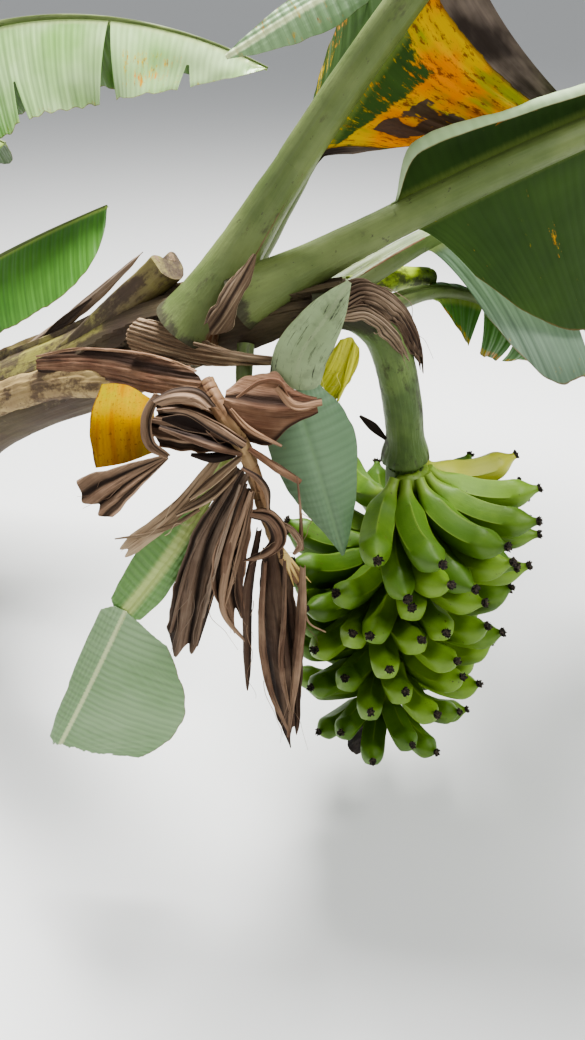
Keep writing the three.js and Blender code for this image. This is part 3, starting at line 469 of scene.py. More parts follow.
limbGrain = {"fibres": (260, 260, 9), "smears": (26, 26, 9), "specks": (95, 95, 60), "broad": 9.0, "fine": 90.0}
limbMarks = {"yellow": (0.42, 0.40, 0.05), "driedPale": (0.22, 0.15, 0.09), "blotchLift": 1.6}
limbSkins = {
    "greenStalk": dict(pale=(0.165, 0.207, 0.068), deep=(0.095, 0.134, 0.035), blotch=(0.040, 0.032, 0.020),
                       rim=(0.15, 0.055, 0.020), stained=0.44),
    "bunchSkin": dict(pale=(0.130, 0.195, 0.042), deep=(0.062, 0.110, 0.020), blotch=(0.022, 0.015, 0.009),
                      stained=0.44),
    "mottledStem": dict(pale=(0.25, 0.225, 0.060), deep=(0.145, 0.105, 0.045), blotch=(0.042, 0.025, 0.019),
                        rim=(0.21, 0.14, 0.085), stained=0.60, gloss=0.55),
    "yellowStub": dict(pale=(0.40, 0.52, 0.03), deep=(0.27, 0.38, 0.02), blotch=(0.015, 0.012, 0.008),
                       rim=(0.10, 0.05, 0.02), stained=0.5),
    "driedStalk": dict(pale=(0.40, 0.29, 0.12), deep=(0.24, 0.155, 0.07), blotch=(0.05, 0.028, 0.018),
                       stained=0.50, gloss=0.6),
    "snappedRib": dict(pale=(0.40, 0.27, 0.13), deep=(0.24, 0.13, 0.065), blotch=(0.06, 0.025, 0.014),
                       stained=0.40, gloss=0.6),
    "paleFibre": dict(pale=(0.80, 0.62, 0.26), deep=(0.62, 0.42, 0.14), blotch=(0.20, 0.10, 0.04), stained=0.1,
                      gloss=0.6),
    "darkBud": dict(pale=(0.055, 0.040, 0.032), deep=(0.022, 0.016, 0.013), blotch=(0.010, 0.008, 0.007),
                    rim=(0.16, 0.12, 0.09), stained=0.6, gloss=0.7),
}


def limbFinish(name, pale, deep, blotch, stained, rim=(0.14, 0.09, 0.05), gloss=0.42):
    # Waxy stalk skin. limbPlace: sideways and upwards from the centreline, metres along.
    # limbState: dried rim, yellowing, and age with painted shade mixed in.
    paint = Paint(name)
    skin = paint.map("limbPlace")
    dried, yellow, ageAndShade = paint.map("limbState")
    spot, rates, marks = paint.place(), limbGrain, limbMarks
    fibres = paint.grain(skin, rates["fibres"])
    smears = paint.grain(skin, rates["smears"], 5.0, 0.68)
    specks = paint.grain(skin, rates["specks"], 4.0, 0.75)
    broad = paint.noise(spot, rates["broad"], 4.0, 0.6)
    fine = paint.noise(spot, rates["fine"], 4.0, 0.7)
    colour = paint.mix(broad.step(0.32, 0.68), pale, deep)
    colour = paint.mix(yellow, colour, marks["yellow"])
    colour = paint.shade(colour, 0.86 + fibres * 0.28)
    colour = paint.mix(specks.step(0.63, 0.70) * 0.75, colour, blotch)
    # Stains grow with the age map, which also carries painted shade, so the blotch colour paints shade there too
    stainAndShade = (smears + ageAndShade * 0.34 + fine.sway(0.2)).step(1.06 - stained, 1.22 - stained)
    paler = [marks["blotchLift"] * part for part in blotch]
    colour = paint.mix(stainAndShade * 0.85, colour, paint.mix(fibres.step(0.3, 0.7), blotch, paler))
    edge = (dried + fibres.sway(0.4) + fine.sway(0.3)).step(0.42, 0.6)
    colour = paint.mix(edge, colour, paint.mix(fibres.step(0.35, 0.65), rim, marks["driedPale"]))
    rough = gloss + fine * 0.2 + edge * 0.35 + stainAndShade * 0.15
    return paint.finish(colour, rough, fibres * 0.6 + fine * 0.35 + edge * 0.5, 1.6 * mm)


dryMarks = {"green": (0.21, 0.23, 0.006), "spot": (0.12, 0.045, 0.012)}
drySkins = {
    "dryBrown": dict(dark=(0.016, 0.009, 0.007), brown=(0.125, 0.069, 0.042), tan=(0.30, 0.20, 0.13)),
    "dryGrey": dict(dark=(0.026, 0.017, 0.013), brown=(0.150, 0.098, 0.066), tan=(0.27, 0.20, 0.145)),
    "dryRed": dict(dark=(0.022, 0.010, 0.006), brown=(0.145, 0.068, 0.038), tan=(0.29, 0.175, 0.105)),
    "dryTan": dict(dark=(0.045, 0.026, 0.016), brown=(0.30, 0.205, 0.125), tan=(0.50, 0.38, 0.25)),
    "scaleSkin": dict(dark=(0.014, 0.008, 0.006), brown=(0.095, 0.058, 0.038), tan=(0.34, 0.25, 0.17), stripe=260),
    "stripedSheath": dict(dark=(0.030, 0.017, 0.011), brown=(0.23, 0.155, 0.095), tan=(0.60, 0.46, 0.30),
                          stripe=330),
    "yellowLeaf": dict(dark=(0.28, 0.105, 0.001), brown=(0.37, 0.185, 0.001), tan=(0.33, 0.25, 0.004), stripe=45,
                       gloss=0.7, spotted=1.0, shine=0.05),
    "lemonLeaf": dict(dark=(0.30, 0.30, 0.03), brown=(0.64, 0.62, 0.06), tan=(0.80, 0.78, 0.22), stripe=120,
                      gloss=0.5, spotted=0.4),
}


def dryFinish(name, dark, brown, tan, stripe=170, gloss=0.72, spotted=0.0, shine=0.3):
    # Dried leaf and sheath: long fibres, as many as the stripe's rate across, and creases darkened as painted shade.
    # stripPlace: metres across, metres along, share to the edge. stripState: painted shade (fold valleys or a strip's
    # dark share), colour turn, random.
    paint = Paint(name, Specular_IOR_Level=shine)
    across, along, share = paint.map("stripPlace")
    creaseShade, turn, luck = paint.map("stripState")
    spot, marks = paint.place(), dryMarks
    fibres = paint.grain((across, along, luck), (stripe, 7, 9), 4.0, 0.6)
    strands = paint.grain((across * stripe, along), (3.4, 16), 2.0)
    broad = paint.noise(spot, 9.0, 4.0, 0.6)
    fine = paint.noise(spot, 130.0, 3.0, 0.7)
    colour = paint.mix((broad + turn * 0.6).step(0.42, 0.80), brown, tan)
    colour = paint.mix(fibres.step(0.52, 0.72) * 0.7, colour, tan)
    colour = paint.mix((1 - fibres).step(0.52, 0.70) * 0.75, colour, dark)
    colour = paint.shade(colour, 0.70 + strands * 0.6)
    # Painted shade: fold valleys and dark strips take the dark colour
    colour = paint.mix(creaseShade.step(0.25, 0.95) * 0.92, colour, dark)
    colour = paint.mix((share + fine.sway(0.1)).step(0.93, 1.0) * 0.5, colour, tan)
    if spotted:  # still green near its start, with brown spots and a worn edge
        # The green near its start is a tint the leaf has, and it also paints shade on the up-facing top
        greenShadedStart = (1 - along.step(0.02, 0.09)) * (broad + fibres.sway(0.4)).step(0.30, 0.60)
        colour = paint.mix(greenShadedStart * 0.7 * spotted, colour, marks["green"])
        spots = paint.noise(spot, 260.0, 3.0, 0.6).step(0.60, 0.67)
        worn = (share + broad.sway(0.5) + fine.sway(0.2)).step(0.92, 1.0)
        colour = paint.mix((spots * 0.6 + worn * 0.9) * spotted, colour, marks["spot"])
    return paint.finish(colour, gloss + fine * 0.2, fibres * 0.9 + strands * 0.5 + fine * 0.25, 2 * mm)


fruitGrain = {"streaks": (160, 160, 2.4), "scars": (90, 90, 9), "broad": 26.0, "fine": 260.0, "spots": 120.0}
fruitMarks = {"ripe": (0.52, 0.50, 0.060), "spot": (0.06, 0.05, 0.015), "scar": (0.11, 0.09, 0.03),
              "black": (0.012, 0.010, 0.008), "char": (0.10, 0.075, 0.05)}
fruitSkins = {"fruitSkin": dict(lit=(0.165, 0.285, 0.024), deep=(0.070, 0.150, 0.010), pale=(0.30, 0.40, 0.075))}


def fruitFinish(name, lit, deep, pale, shine=0.45, gloss=0.43):
    # Green fruit skin. fruitPlace: across and up from the centreline, share along.
    # fruitState: ridge, dark tip, random of the fruit.
    paint = Paint(name, Specular_IOR_Level=shine)
    skin = paint.map("fruitPlace")
    ridge, tip, luck = paint.map("fruitState")
    spot, rates, marks = paint.place(), fruitGrain, fruitMarks
    broad = paint.noise(spot, rates["broad"], 3.0)
    fine = paint.noise(spot, rates["fine"], 3.0, 0.7)
    streaks = paint.grain(skin, rates["streaks"], 3.0, 0.6)
    colour = paint.mix((luck * 0.6 + broad * 0.6).step(0.25, 0.85), deep, lit)
    colour = paint.mix(luck.step(0.90, 0.99) * 0.8, colour, marks["ripe"])
    colour = paint.mix(ridge.step(0.6, 1.0) * 0.32, colour, pale)
    colour = paint.shade(colour, 0.86 + streaks * 0.28)
    colour = paint.mix((1 - skin[2].step(0.05, 0.24)) * 0.4, colour, pale)
    spots = paint.noise(spot, rates["spots"], 2.0, 0.6).step(0.70, 0.74)
    colour = paint.mix(spots * 0.75, colour, marks["spot"])
    scars = paint.grain(skin, rates["scars"], 4.0, 0.65).step(0.66, 0.71)
    colour = paint.mix(scars * 0.5, colour, marks["scar"])
    black = (tip + fine.sway(0.35) + streaks.sway(0.2)).step(0.42, 0.6)
    colour = paint.mix(black, colour, paint.mix(fine.step(0.4, 0.7), marks["black"], marks["char"]))
    rough = gloss + fine * 0.16 + black * 0.4
    return paint.finish(colour, rough, streaks * 0.35 + fine * 0.25 + black * 0.8, 0.8 * mm)


paints = {}
for makeFinish, skins in ((leafFinish, leafSkins), (limbFinish, limbSkins), (dryFinish, drySkins),
                          (fruitFinish, fruitSkins)):
    for name, spec in skins.items():
        paints[name] = makeFinish(name, **spec)
print("finishes mixed:", len(paints))


# Main stem and follower stem: layered sheaths over a tapering limb with a root flare

stems = {
    "main_stem": dict(
        line=dict(through=[(0, 0, 0), (135, -108, 250), (318, -255, 500), (604, -486, 785), (900, -716, 991),
                           (1095, -866, 1118), (1241, -931, 1170), (1337, -956, 1196)]),
        low=92, throat=44, taper=1.6, flare=62, flareReach=110, paint="mottledStem", slot="stem_brown",
        sheaths=8, lift=9, seed=3, rows=240, sides=150, slimmer=12),
    "follower_stem": dict(
        line=dict(start=(-175, 150, 0), heading=25, rise=86, fall=8, length=900),
        low=60, throat=32, taper=1, flare=34, flareReach=80, paint="greenStalk", slot="stalk_green",
        sheaths=5, lift=4, seed=5, rows=110, sides=72),
}
stemSkin = {
    "buried": 0.12, "points": 500,  # metres that the line goes on below height 0, and its points
    "apart": 2.4, "wind": 2.2, "sway": 0.5, "share": 0.09,  # sheath edges: radians apart, winding, and share apart
    "hills": (2.5, 9, 2.4), "wrinkles": (13, 7, 1.3),  # lumps round, lumps per metre, height
    "lobes": 0.03, "rowsLow": 1.15}
upright = (0, 0.2, 1)


def growStem(name, line, low, throat, taper, flare, flareReach, paint, slot, sheaths, lift, seed, rows, sides,
             slimmer=0):
    # Radius: from low to throat by a power of the share, plus a flare that dies off from the foot, plus a step
    # at the edge of each sheath, which winds slowly round the stem. The foot is cut flat at height 0.
    skin = stemSkin
    path = makeLine(**line)
    bare = Rail(path, upright)
    path = np.vstack([path[:1] - bare.tables[1][:1] * skin["buried"], path])
    rail = Rail(evenly(path, skin["points"]), upright)
    a = np.linspace(0, 2 * np.pi, sides, endpoint=False)[None, :]

    def surface(f):  # the share is below 0 where the line is below the cut
        up0 = np.maximum(f, 0)
        radius = (low + (throat - low) * up0**taper + flare * np.exp(-up0 * bare.length / (flareReach * mm))) * mm
        radius = radius - slimmer * mm * (ease(up0, 0.78, 0.92) + 1.6 * ease(up0, 0.91, 0.98))
        step = 0
        for k in range(sheaths):
            edge = skin["apart"] * k + skin["wind"] * up0 + skin["sway"] * roll(up0 * 7, k, seed=seed)
            behind = np.mod(a - edge, 2 * np.pi) / (2 * np.pi)
            begins = skin["share"] * k
            step = step + ease(up0, begins - 0.1, begins + 0.03) * (1 - behind) ** 3 * lift * mm
        metres = up0 * bare.length
        hills, wrinkles = (roll(lumps * np.cos(a), lumps * np.sin(a), metres * rate, seed) * height * mm
                           for lumps, rate, height in (skin["hills"], skin["wrinkles"]))
        radius = radius * (1 + skin["lobes"] * np.cos(3 * a + 5 * up0)) + step - 0.4 * lift * mm + hills + wrinkles
        at, along, up, side = rail.read((f * bare.length + skin["buried"]) / rail.length)
        points = at + radius[..., None] * (np.cos(a)[..., None] * side + np.sin(a)[..., None] * up)
        return points, step, radius, along

    foot = np.zeros((1, sides))
    for _ in range(8):  # each pass brings the lowest ring nearer to height 0
        points, _, _, along = surface(foot)
        foot = foot - points[..., 2] / (along[..., 2] * bare.length)
    f = foot + (1 - foot) * np.linspace(0, 1, rows)[:, None] ** skin["rowsLow"]
    points, step, radius, _ = surface(f)
    points[0, :, 2] = 0
    # Dried on the sheath edges, yellow in a few patches, older in others, and darkened as painted shade on the lower
    # side and near the throat
    dried = 0.85 * ease(step, 0.7 * step.max(), 0.95 * step.max())
    yellow = 0.25 * ease(roll(1.5 * np.cos(a), 1.5 * np.sin(a), f * 6, 9), 0.1, 0.7)
    patch = roll(2 * np.cos(a), 2 * np.sin(a), f * 9, 4)
    ageAndShade = 0.45 + 0.5 * patch - 0.45 * np.sin(a) + 1.2 * ease(f, 0.74, 0.86)
    maps = dict(limbPlace=[radius * np.cos(a), radius * np.sin(a), f * bare.length], limbState=[dried, yellow, ageAndShade])
    makePiece(name, [(points, tubeFaces(rows, sides), maps)], paint)


for name, spec in stems.items():
    growStem(name, **spec)
print("stems grown")


# Limbs: rings of one outline carried along a centreline. An outline gives a share of the radius by the angle from
# the top and the share along, and takes both even where it needs only the first.

gutter = {"hollow": 0.56, "from": 0.10, "to": 0.80, "lip": 0.08, "lipAt": 0.92, "lipWide": 0.20}
trough = {"hollow": 0.45, "opening": 0.4, "from": 0.15, "to": 1.15, "lip": 0.06, "lipWide": 0.18}
flatShare = 0.55
jointSteps = {"rate": 150, "stray": 3.5, "wide": 0.20, "pinch": 0.16}


def roundOutline(turn, f):
    return 1 + 0 * turn


def gutterOutline(turn, f):
    # Hollow within 45 degrees of the top, a raised lip at the hollow's edge, round below
    fromTop, g = np.abs(turn), gutter
    lip = g["lip"] * np.exp(-((fromTop - g["lipAt"]) / g["lipWide"]) ** 2)
    return 1 - g["hollow"] * (1 - ease(fromTop, g["from"], g["to"])) + lip


def troughOutline(turn, f):
    # Hollow within 65 degrees of the top, deeper towards the end
    fromTop, t = np.abs(turn), trough
    deep = t["hollow"] + t["opening"] * ease(f, 0.2, 1.0)
    lip = t["lip"] * np.exp(-((fromTop - t["to"]) / t["lipWide"]) ** 2)
    return 1 - deep * (1 - ease(fromTop, t["from"], t["to"])) + lip


def flatOutline(turn, f):  # an ellipse, as high as the flat share of its width
    return 1 / np.hypot(np.sin(turn), np.cos(turn) / flatShare)


def limbShell(rail, radiusAt, outlineAt=roundOutline, first=0.0, last=1.0, rings=40, sides=32, relief=0.0,
              ridges=0, seed=0, driedRim=0.0, ageAndShade=0.3, footStainAndShade=0.0, footReach=0.35, joints=0.0, seam=None,
              roundTip=False):
    # Radius by the share along, times an outline by the angle from the top, plus hills of the relief's height.
    # Joints are narrow rings pressed in. A seam is a dried band at its own angle, which is broad at the foot.
    f = np.linspace(first, last, rings)[:, None]
    turn = np.linspace(-np.pi, np.pi, sides, endpoint=False)[None, :]
    metres = f * rail.length
    x, y = np.sin(turn), np.cos(turn)
    hills = roll(2 * x, 2 * y, metres * 25, seed) + 0.5 * roll(7 * x, 7 * y, metres * 70, seed + 1)
    radius = radiusAt(f) * mm * outlineAt(turn, f) + relief * mm * (hills + ridges * np.cos(11 * turn + hills))
    phase = metres * jointSteps["rate"] + jointSteps["stray"] * roll(metres * 22, seed=seed) + 0.4 * x
    joint = np.exp(-(np.sin(phase) / jointSteps["wide"]) ** 2) * joints
    joint = joint * (0.55 + 0.6 * roll(metres * 31, x, seed=seed + 7))
    radius = radius * (1 - jointSteps["pinch"] * joint)
    if roundTip:
        radius = radius * np.sqrt(np.maximum(1 - ease(f, last - 0.12, last) ** 3, 0.02))
    at, along, up, side = rail.read(f)
    points = at + radius[..., None] * (x[..., None] * side + y[..., None] * up)
    lip = np.exp(-((np.abs(turn) - gutter["lipAt"]) / 0.10) ** 2)
    rim = lip * driedRim * (0.75 + 0.5 * roll(metres * 18, seed=seed))
    if seam is not None:
        wide = 0.07 + 0.30 * (1 - ease(f, first, first + 0.5 * (last - first)))
        worn = 0.8 + 0.4 * roll(metres * 22, turn * 3, seed=seed)
        rim = np.maximum(rim, np.exp(-((turn - seam) / wide) ** 2) * worn)
    old = ageAndShade + 0.35 * roll(x, y, metres * 6, seed + 2) + 1.4 * joint
    # The foot is darkened with stain and painted shade where it goes into the shaded stem
    old = old + footStainAndShade * (1 - ease(f, first, first + footReach * (last - first)))
    maps = dict(limbPlace=[radius * x, radius * y, metres], limbState=[rim, 0.0, old])
    return points, tubeFaces(rings, sides), maps


# Leaves: a stalk, a rib that carries on from it, and a blade of two halves

bladeForm = {
    "tipPower": 1.92, "rowPower": 0.9, "slantPower": 1.6,  # how the tip closes, columns crowd and rows slant
    "ragRates": (9, 45), "ragHeights": (0.6, 0.25),  # lumps per metre in the margin, and their share of the rag
    "pinchFrom": 0.03, "pinchTo": 0.22, "pleatWide": 0.034, "marginThin": 0.4, "inRib": 0.85}
stalkForm = {"ringStep": 0.006, "fewest": 20, "sides": 48, "relief": 0.8, "ribRings": 150, "ribSides": 28,
             "ribRelief": 0.25, "ageAndShade": 0.12, "ribAge": 0.02}


def bladeShape(g, base, blunt):  # opens as a quarter sine over the base share, then narrows to the tip
    past = np.maximum((g - base) / (1 - base), 0)
    opened = np.sin(np.pi / 2 * np.clip(g / base, 0, 1))
    return opened * np.maximum(1 - past**blunt, 0) ** (bladeForm["tipPower"] / blunt)


def running(values, s):  # the area under a row up to each of its columns
    steps = (values[:, 1:] + values[:, :-1]) / 2 * np.diff(s)
    return np.concatenate([np.zeros((len(values), 1)), np.cumsum(steps, axis=1)], axis=1)


def patchOf(kind, patches, hand, g, s):
    # Each patch is strong between its shares along and across, and fades outside them
    total = 0 * g * s
    for which, side, (g0, g1), (s0, s1), strength in patches:
        if which == kind and side in (0, hand):
            alongPart = ease(g, g0 - 0.02, g0 + 0.015) * (1 - ease(g, g1 - 0.015, g1 + 0.02))
            acrossPart = ease(s, s0 - 0.12, s0 + 0.06) * (1 - ease(s, s1 - 0.06, s1 + 0.12))
            total = np.maximum(total, strength * alongPart * acrossPart)
    return total


def bladeHalf(rail, hand, stalk, rib, base, width, fold, bend, tears, patches, slant, wave, pleat, ragged,
              rows, columns, thick, seed, blunt, late=1, pinch=0.0):
    # Across: leaves the rib at the fold angle and curls by bend, with the share to the power late, to the margin.
    # Along: rows slant forward with the veins, part at each tear, and ripple towards the margin. Pinch narrows all
    # but the base.
    form = bladeForm
    g = np.linspace(0, 1, rows)[:, None]
    s = np.linspace(0, 1, columns)[None, :] ** form["rowPower"]
    middle = (s[0, 1:] + s[0, :-1]) / 2
    gone = np.zeros((rows - 1, columns - 1), bool)
    slip, hang = 0 * g * s, 0 * g * s
    for side, at, depth, gap, drop in tears:
        if side == hand:
            row = int(at * (rows - 1))
            gone[row, middle > depth] = True
            away = g - (g[row] + g[row + 1]) / 2
            near = np.exp(-np.abs(away) / (gap + 0.02))
            opened = np.clip((s - depth) / (1 - depth), 0, 1)
            slip += np.sign(away) * gap / 2 * opened * near
            hang += drop * opened**1.5 * near * (away > 0)
    spread = np.clip(g + slant * s ** form["slantPower"] * (1 - g) + slip, 0, 1)
    ribRadius = (rib[0] + (rib[1] - rib[0]) * spread) * mm
    along = g * (rail.length * (1 - stalk))
    low, high = form["ragRates"]
    lowPart, highPart = form["ragHeights"]
    lumps = lowPart * np.maximum(roll(along * low, seed=seed), 0) + highPart * roll(along * high, seed=seed + 1)
    rag = ragged * lumps
    narrower = 1 - pinch * ease(spread, form["pinchFrom"], form["pinchTo"])
    full = width * mm * bladeShape(spread, base, blunt) * (1 - rag) * narrower
    full = np.maximum(full - ribRadius, 0.3 * ribRadius + 2 * mm)
    theta = np.radians(fold + bend * s**late) + hang + 0.10 * s * roll(along * 3, seed=seed + 2)
    out = ribRadius * np.cos(np.radians(fold)) * form["inRib"] + full * running(np.cos(theta), s)
    down = ribRadius * np.sin(np.radians(fold)) * form["inRib"] + full * running(np.sin(theta), s)
    at, _, up, side = rail.read(stalk + (1 - stalk) * spread)
    points = at + hand * out[..., None] * side - down[..., None] * up
    if hand < 0:  # so that both halves count their columns the same way round
        points, s, full, gone = points[:, ::-1], s[:, ::-1], full[:, ::-1], gone[:, ::-1]
    normal = unit(np.cross(np.gradient(points, axis=1), np.gradient(points, axis=0)) + tiny)
    ripple = np.sin(along * 21 + 2 * roll(along * 4, seed=seed + 3)) + roll(along * 13, s * 2, seed=seed)
    pleats = np.sin(2 * np.pi * along / form["pleatWide"] + 0.6 * roll(along * 15, seed=seed))
    lift = wave * s**2 * ripple + pleat * ease(s, 0.0, 0.2) * pleats
    points = points + normal * (lift * mm)[..., None]
    yellow, dry = (patchOf(kind, patches, hand, g, s) for kind in ("yellow", "dry"))
    maps = dict(leafPlace=[full * s, along, s + 0 * g], leafState=[0.0, yellow, dry])
    lowMaps = dict(maps, leafState=[1.0, yellow, dry])
    return sheetShell(points, thick * mm * (1 - form["marginThin"] * s), gone, maps, lowMaps)


def growLeaf(name, prefix, line, faces, stalk, foot, neck, rib, base, left, right, seed, tears=(), patches=(),
             slant=0.05, wave=4, pleat=0.8, ragged=0.05, rows=230, columns=26, thick=1.8, driedRim=0.0,
             paint="greenLeaf", footAge=0.2, footReach=0.3, blunt=2.4, seam=None, hidden=0.0):
    # Radii in mm: from foot to neck by a cube of the share left, then evenly to the rib's two ends. Stalk is the
    # stalk's share of the line, and hidden the share of it that lies inside the stem.
    rail = Rail(makeLine(**line), faces, stalk)
    form = stalkForm

    def radiusAt(f):
        share = np.minimum(f / stalk, 1)
        bare = neck + (rib[0] - neck) * share + (foot - neck) * (1 - share) ** 3
        beyond = np.maximum((f - stalk) / (1 - stalk), 0)
        return np.where(f <= stalk, bare, rib[0] + (rib[1] - rib[0]) * beyond)

    rings = max(int(rail.length * stalk / form["ringStep"]), form["fewest"])
    makePiece(f"{prefix}stalk_{name}", [limbShell(
        rail, radiusAt, gutterOutline, hidden, stalk, rings, form["sides"], form["relief"], seed=seed,
        driedRim=driedRim, ageAndShade=form["ageAndShade"], footStainAndShade=footAge, footReach=footReach, seam=seam)],
        "greenStalk")
    makePiece(f"{prefix}rib_{name}", [limbShell(
        rail, radiusAt, gutterOutline, stalk, 1, form["ribRings"], form["ribSides"], form["ribRelief"],
        seed=seed + 5, ageAndShade=form["ribAge"])],
        "greenStalk", [f"{prefix}blade_{name}"])
    shared = dict(base=base, tears=tears, patches=patches, slant=slant, wave=wave, pleat=pleat, ragged=ragged,
                  rows=rows, columns=columns, thick=thick, blunt=blunt)
    halves = [bladeHalf(rail, hand, stalk, rib, seed=seed + hand, **{**shared, **half})  # a half's own values win
              for hand, half in ((-1, left), (1, right))]
    makePiece(f"{prefix}blade_{name}", halves, paint)


# A tear: side, share along, share across where it ends, gap, how far its far lip hangs (radians).
# A patch: yellow or dry, side (0 for both), shares along, shares across, strength.
# Radii and widths are in mm, fold and bend in degrees, and a side is -1 for the left half and 1 for the right.
leaves = {
    "high": dict(
        # Its foot is darkened with stain and painted shade
        base=0.22, stalk=0.155, foot=62, neck=37, rib=(26, 5), seed=11, driedRim=1.0, footAge=0.9, footReach=0.10,
        seam=-2.0,
        line=dict(start=(1100, -903, 1127), heading=-3, rise=57, fall=98, sag=2.3, turn=12, length=1900),
        faces=[(0.4, 0.85, -0.25), (0.3, 0.4, 0.8)],
        left=dict(width=250, fold=-30, bend=10), right=dict(width=200, fold=-44, bend=0),
        tears=[(-1, 0.205, 0, 0.12, 0), (1, 0.5, 0.5, 0.05, 0.2), (1, 0.37, 0.85, 0.01, 0),
               (1, 0.62, 0.8, 0.01, 0.1)],
        patches=[("yellow", -1, (0.025, 0.21), (0.40, 1.0), 0.88), ("yellow", -1, (0.130, 0.21), (0.0, 1.0), 0.80),
                 ("yellow", -1, (0.0, 0.21), (0.0, 1.0), 0.35), ("yellow", -1, (0.050, 0.115), (0.48, 0.90), 1.5),
                 ("dry", -1, (0.172, 0.22), (0.0, 1.0), 1.0), ("dry", -1, (-0.1, 0.020), (0.0, 1.0), 1.0),
                 ("yellow", 1, (0.0, 0.35), (0.7, 1.0), 0.45), ("yellow", -1, (0.25, 0.5), (0.6, 1.0), 0.5)],
        paint="crownLeaf", rows=300, columns=34, ragged=0.04),
    "right": dict(
        # Its foot is darkened near-black as a painted shadow where it meets the stem
        base=0.15, stalk=0.146, foot=54, neck=31, rib=(24, 4), seed=23, footAge=1.3, footReach=0.13, hidden=0.013,
        line=dict(start=(1160, -925, 1168), heading=-10, rise=29, fall=76, sag=1.7, turn=50, veer=0.7, length=1950),
        faces=[(-0.1, 0.95, 0.2), (0.1, 0.5, 0.85)],
        left=dict(width=390, fold=-4, bend=14, base=0.20),
        right=dict(width=132, fold=-24, bend=165, late=2.4, base=0.035, slant=0.0, pinch=0.38),
        tears=[(-1, 0.5, 0, 0.05, 0.15), (-1, 0.34, 0.7, 0.012, 0.1)],
        patches=[("yellow", -1, (-0.1, 0.9), (0.0, 1.0), 0.15), ("yellow", -1, (-0.1, 0.03), (0.0, 0.16), 0.40),
                 ("yellow", -1, (0.124, 0.126), (0.36, 0.58), 1.0),
                 ("yellow", -1, (0.028, 0.030), (0.55, 0.62), 0.9)],
        pleat=0.4, paint="crownLeaf"),
    "low_right": dict(
        base=0.16, stalk=0.115, foot=25, neck=22, rib=(18, 4), seed=35, driedRim=0.8,
        line=dict(start=(1330, -915, 1190), heading=39, rise=17, fall=66, sag=1.1, turn=-14, length=1520),
        faces=[(-0.2, -0.1, 0.95), (-0.1, 0, 1)],
        left=dict(width=200, fold=15, bend=30), right=dict(width=330, fold=48, bend=22),
        tears=[(1, 0.19, 0.5, 0.02, 0.1), (-1, 0.5, 0, 0.06, 0.2), (1, 0.42, 0.85, 0.01, 0),
               (1, 0.66, 0.6, 0.02, 0.2)],
        patches=[("yellow", 0, (0.0, 1.0), (0.9, 1.0), 0.3)], wave=6, paint="blueLeaf"),
    "drooping": dict(
        base=0.4, stalk=0.39, foot=20, neck=17, rib=(13, 4), seed=47, rows=140, thick=1.5,
        line=dict(through=[(1322, -945, 1168), (1406, -882, 1158), (1492, -800, 1150), (1569, -740, 1122),
                           (1648, -706, 1075), (1717, -690, 1010), (1737, -688, 970)]),
        faces=[(-0.1, -0.1, 0.95), (0.3, -0.1, 0.9)],
        left=dict(width=84, fold=-15, bend=50), right=dict(width=92, fold=55, bend=25),
        tears=[(1, 0.42, 0, 0.14, 0), (1, 0.72, 0.3, 0.05, 0.2), (-1, 0.55, 0.4, 0.05, 0.2)],
        patches=[("yellow", 0, (0.0, 1.0), (0.85, 1.0), 0.55)], wave=3, ragged=0.18),
    "back": dict(
        base=0.14, stalk=0.33, foot=34, neck=24, rib=(20, 4), seed=59,
        line=dict(start=(1133, -845, 1122), heading=39, rise=50, fall=80, sag=1.7, turn=62, veer=1.4, length=1950),
        faces=[(-0.5, -0.2, 0.6), (0, -0.1, 1)],
        left=dict(width=250, fold=-12, bend=42), right=dict(width=260, fold=-12, bend=42),
        tears=[(1, 0.4, 0, 0.04, 0.2), (-1, 0.55, 0, 0.05, 0.2), (1, 0.7, 0.5, 0.02, 0.1), (-1, 0.3, 0.7, 0.015, 0)],
        patches=[("yellow", 0, (0.1, 0.9), (0.85, 1.0), 0.45)], wave=6),
}
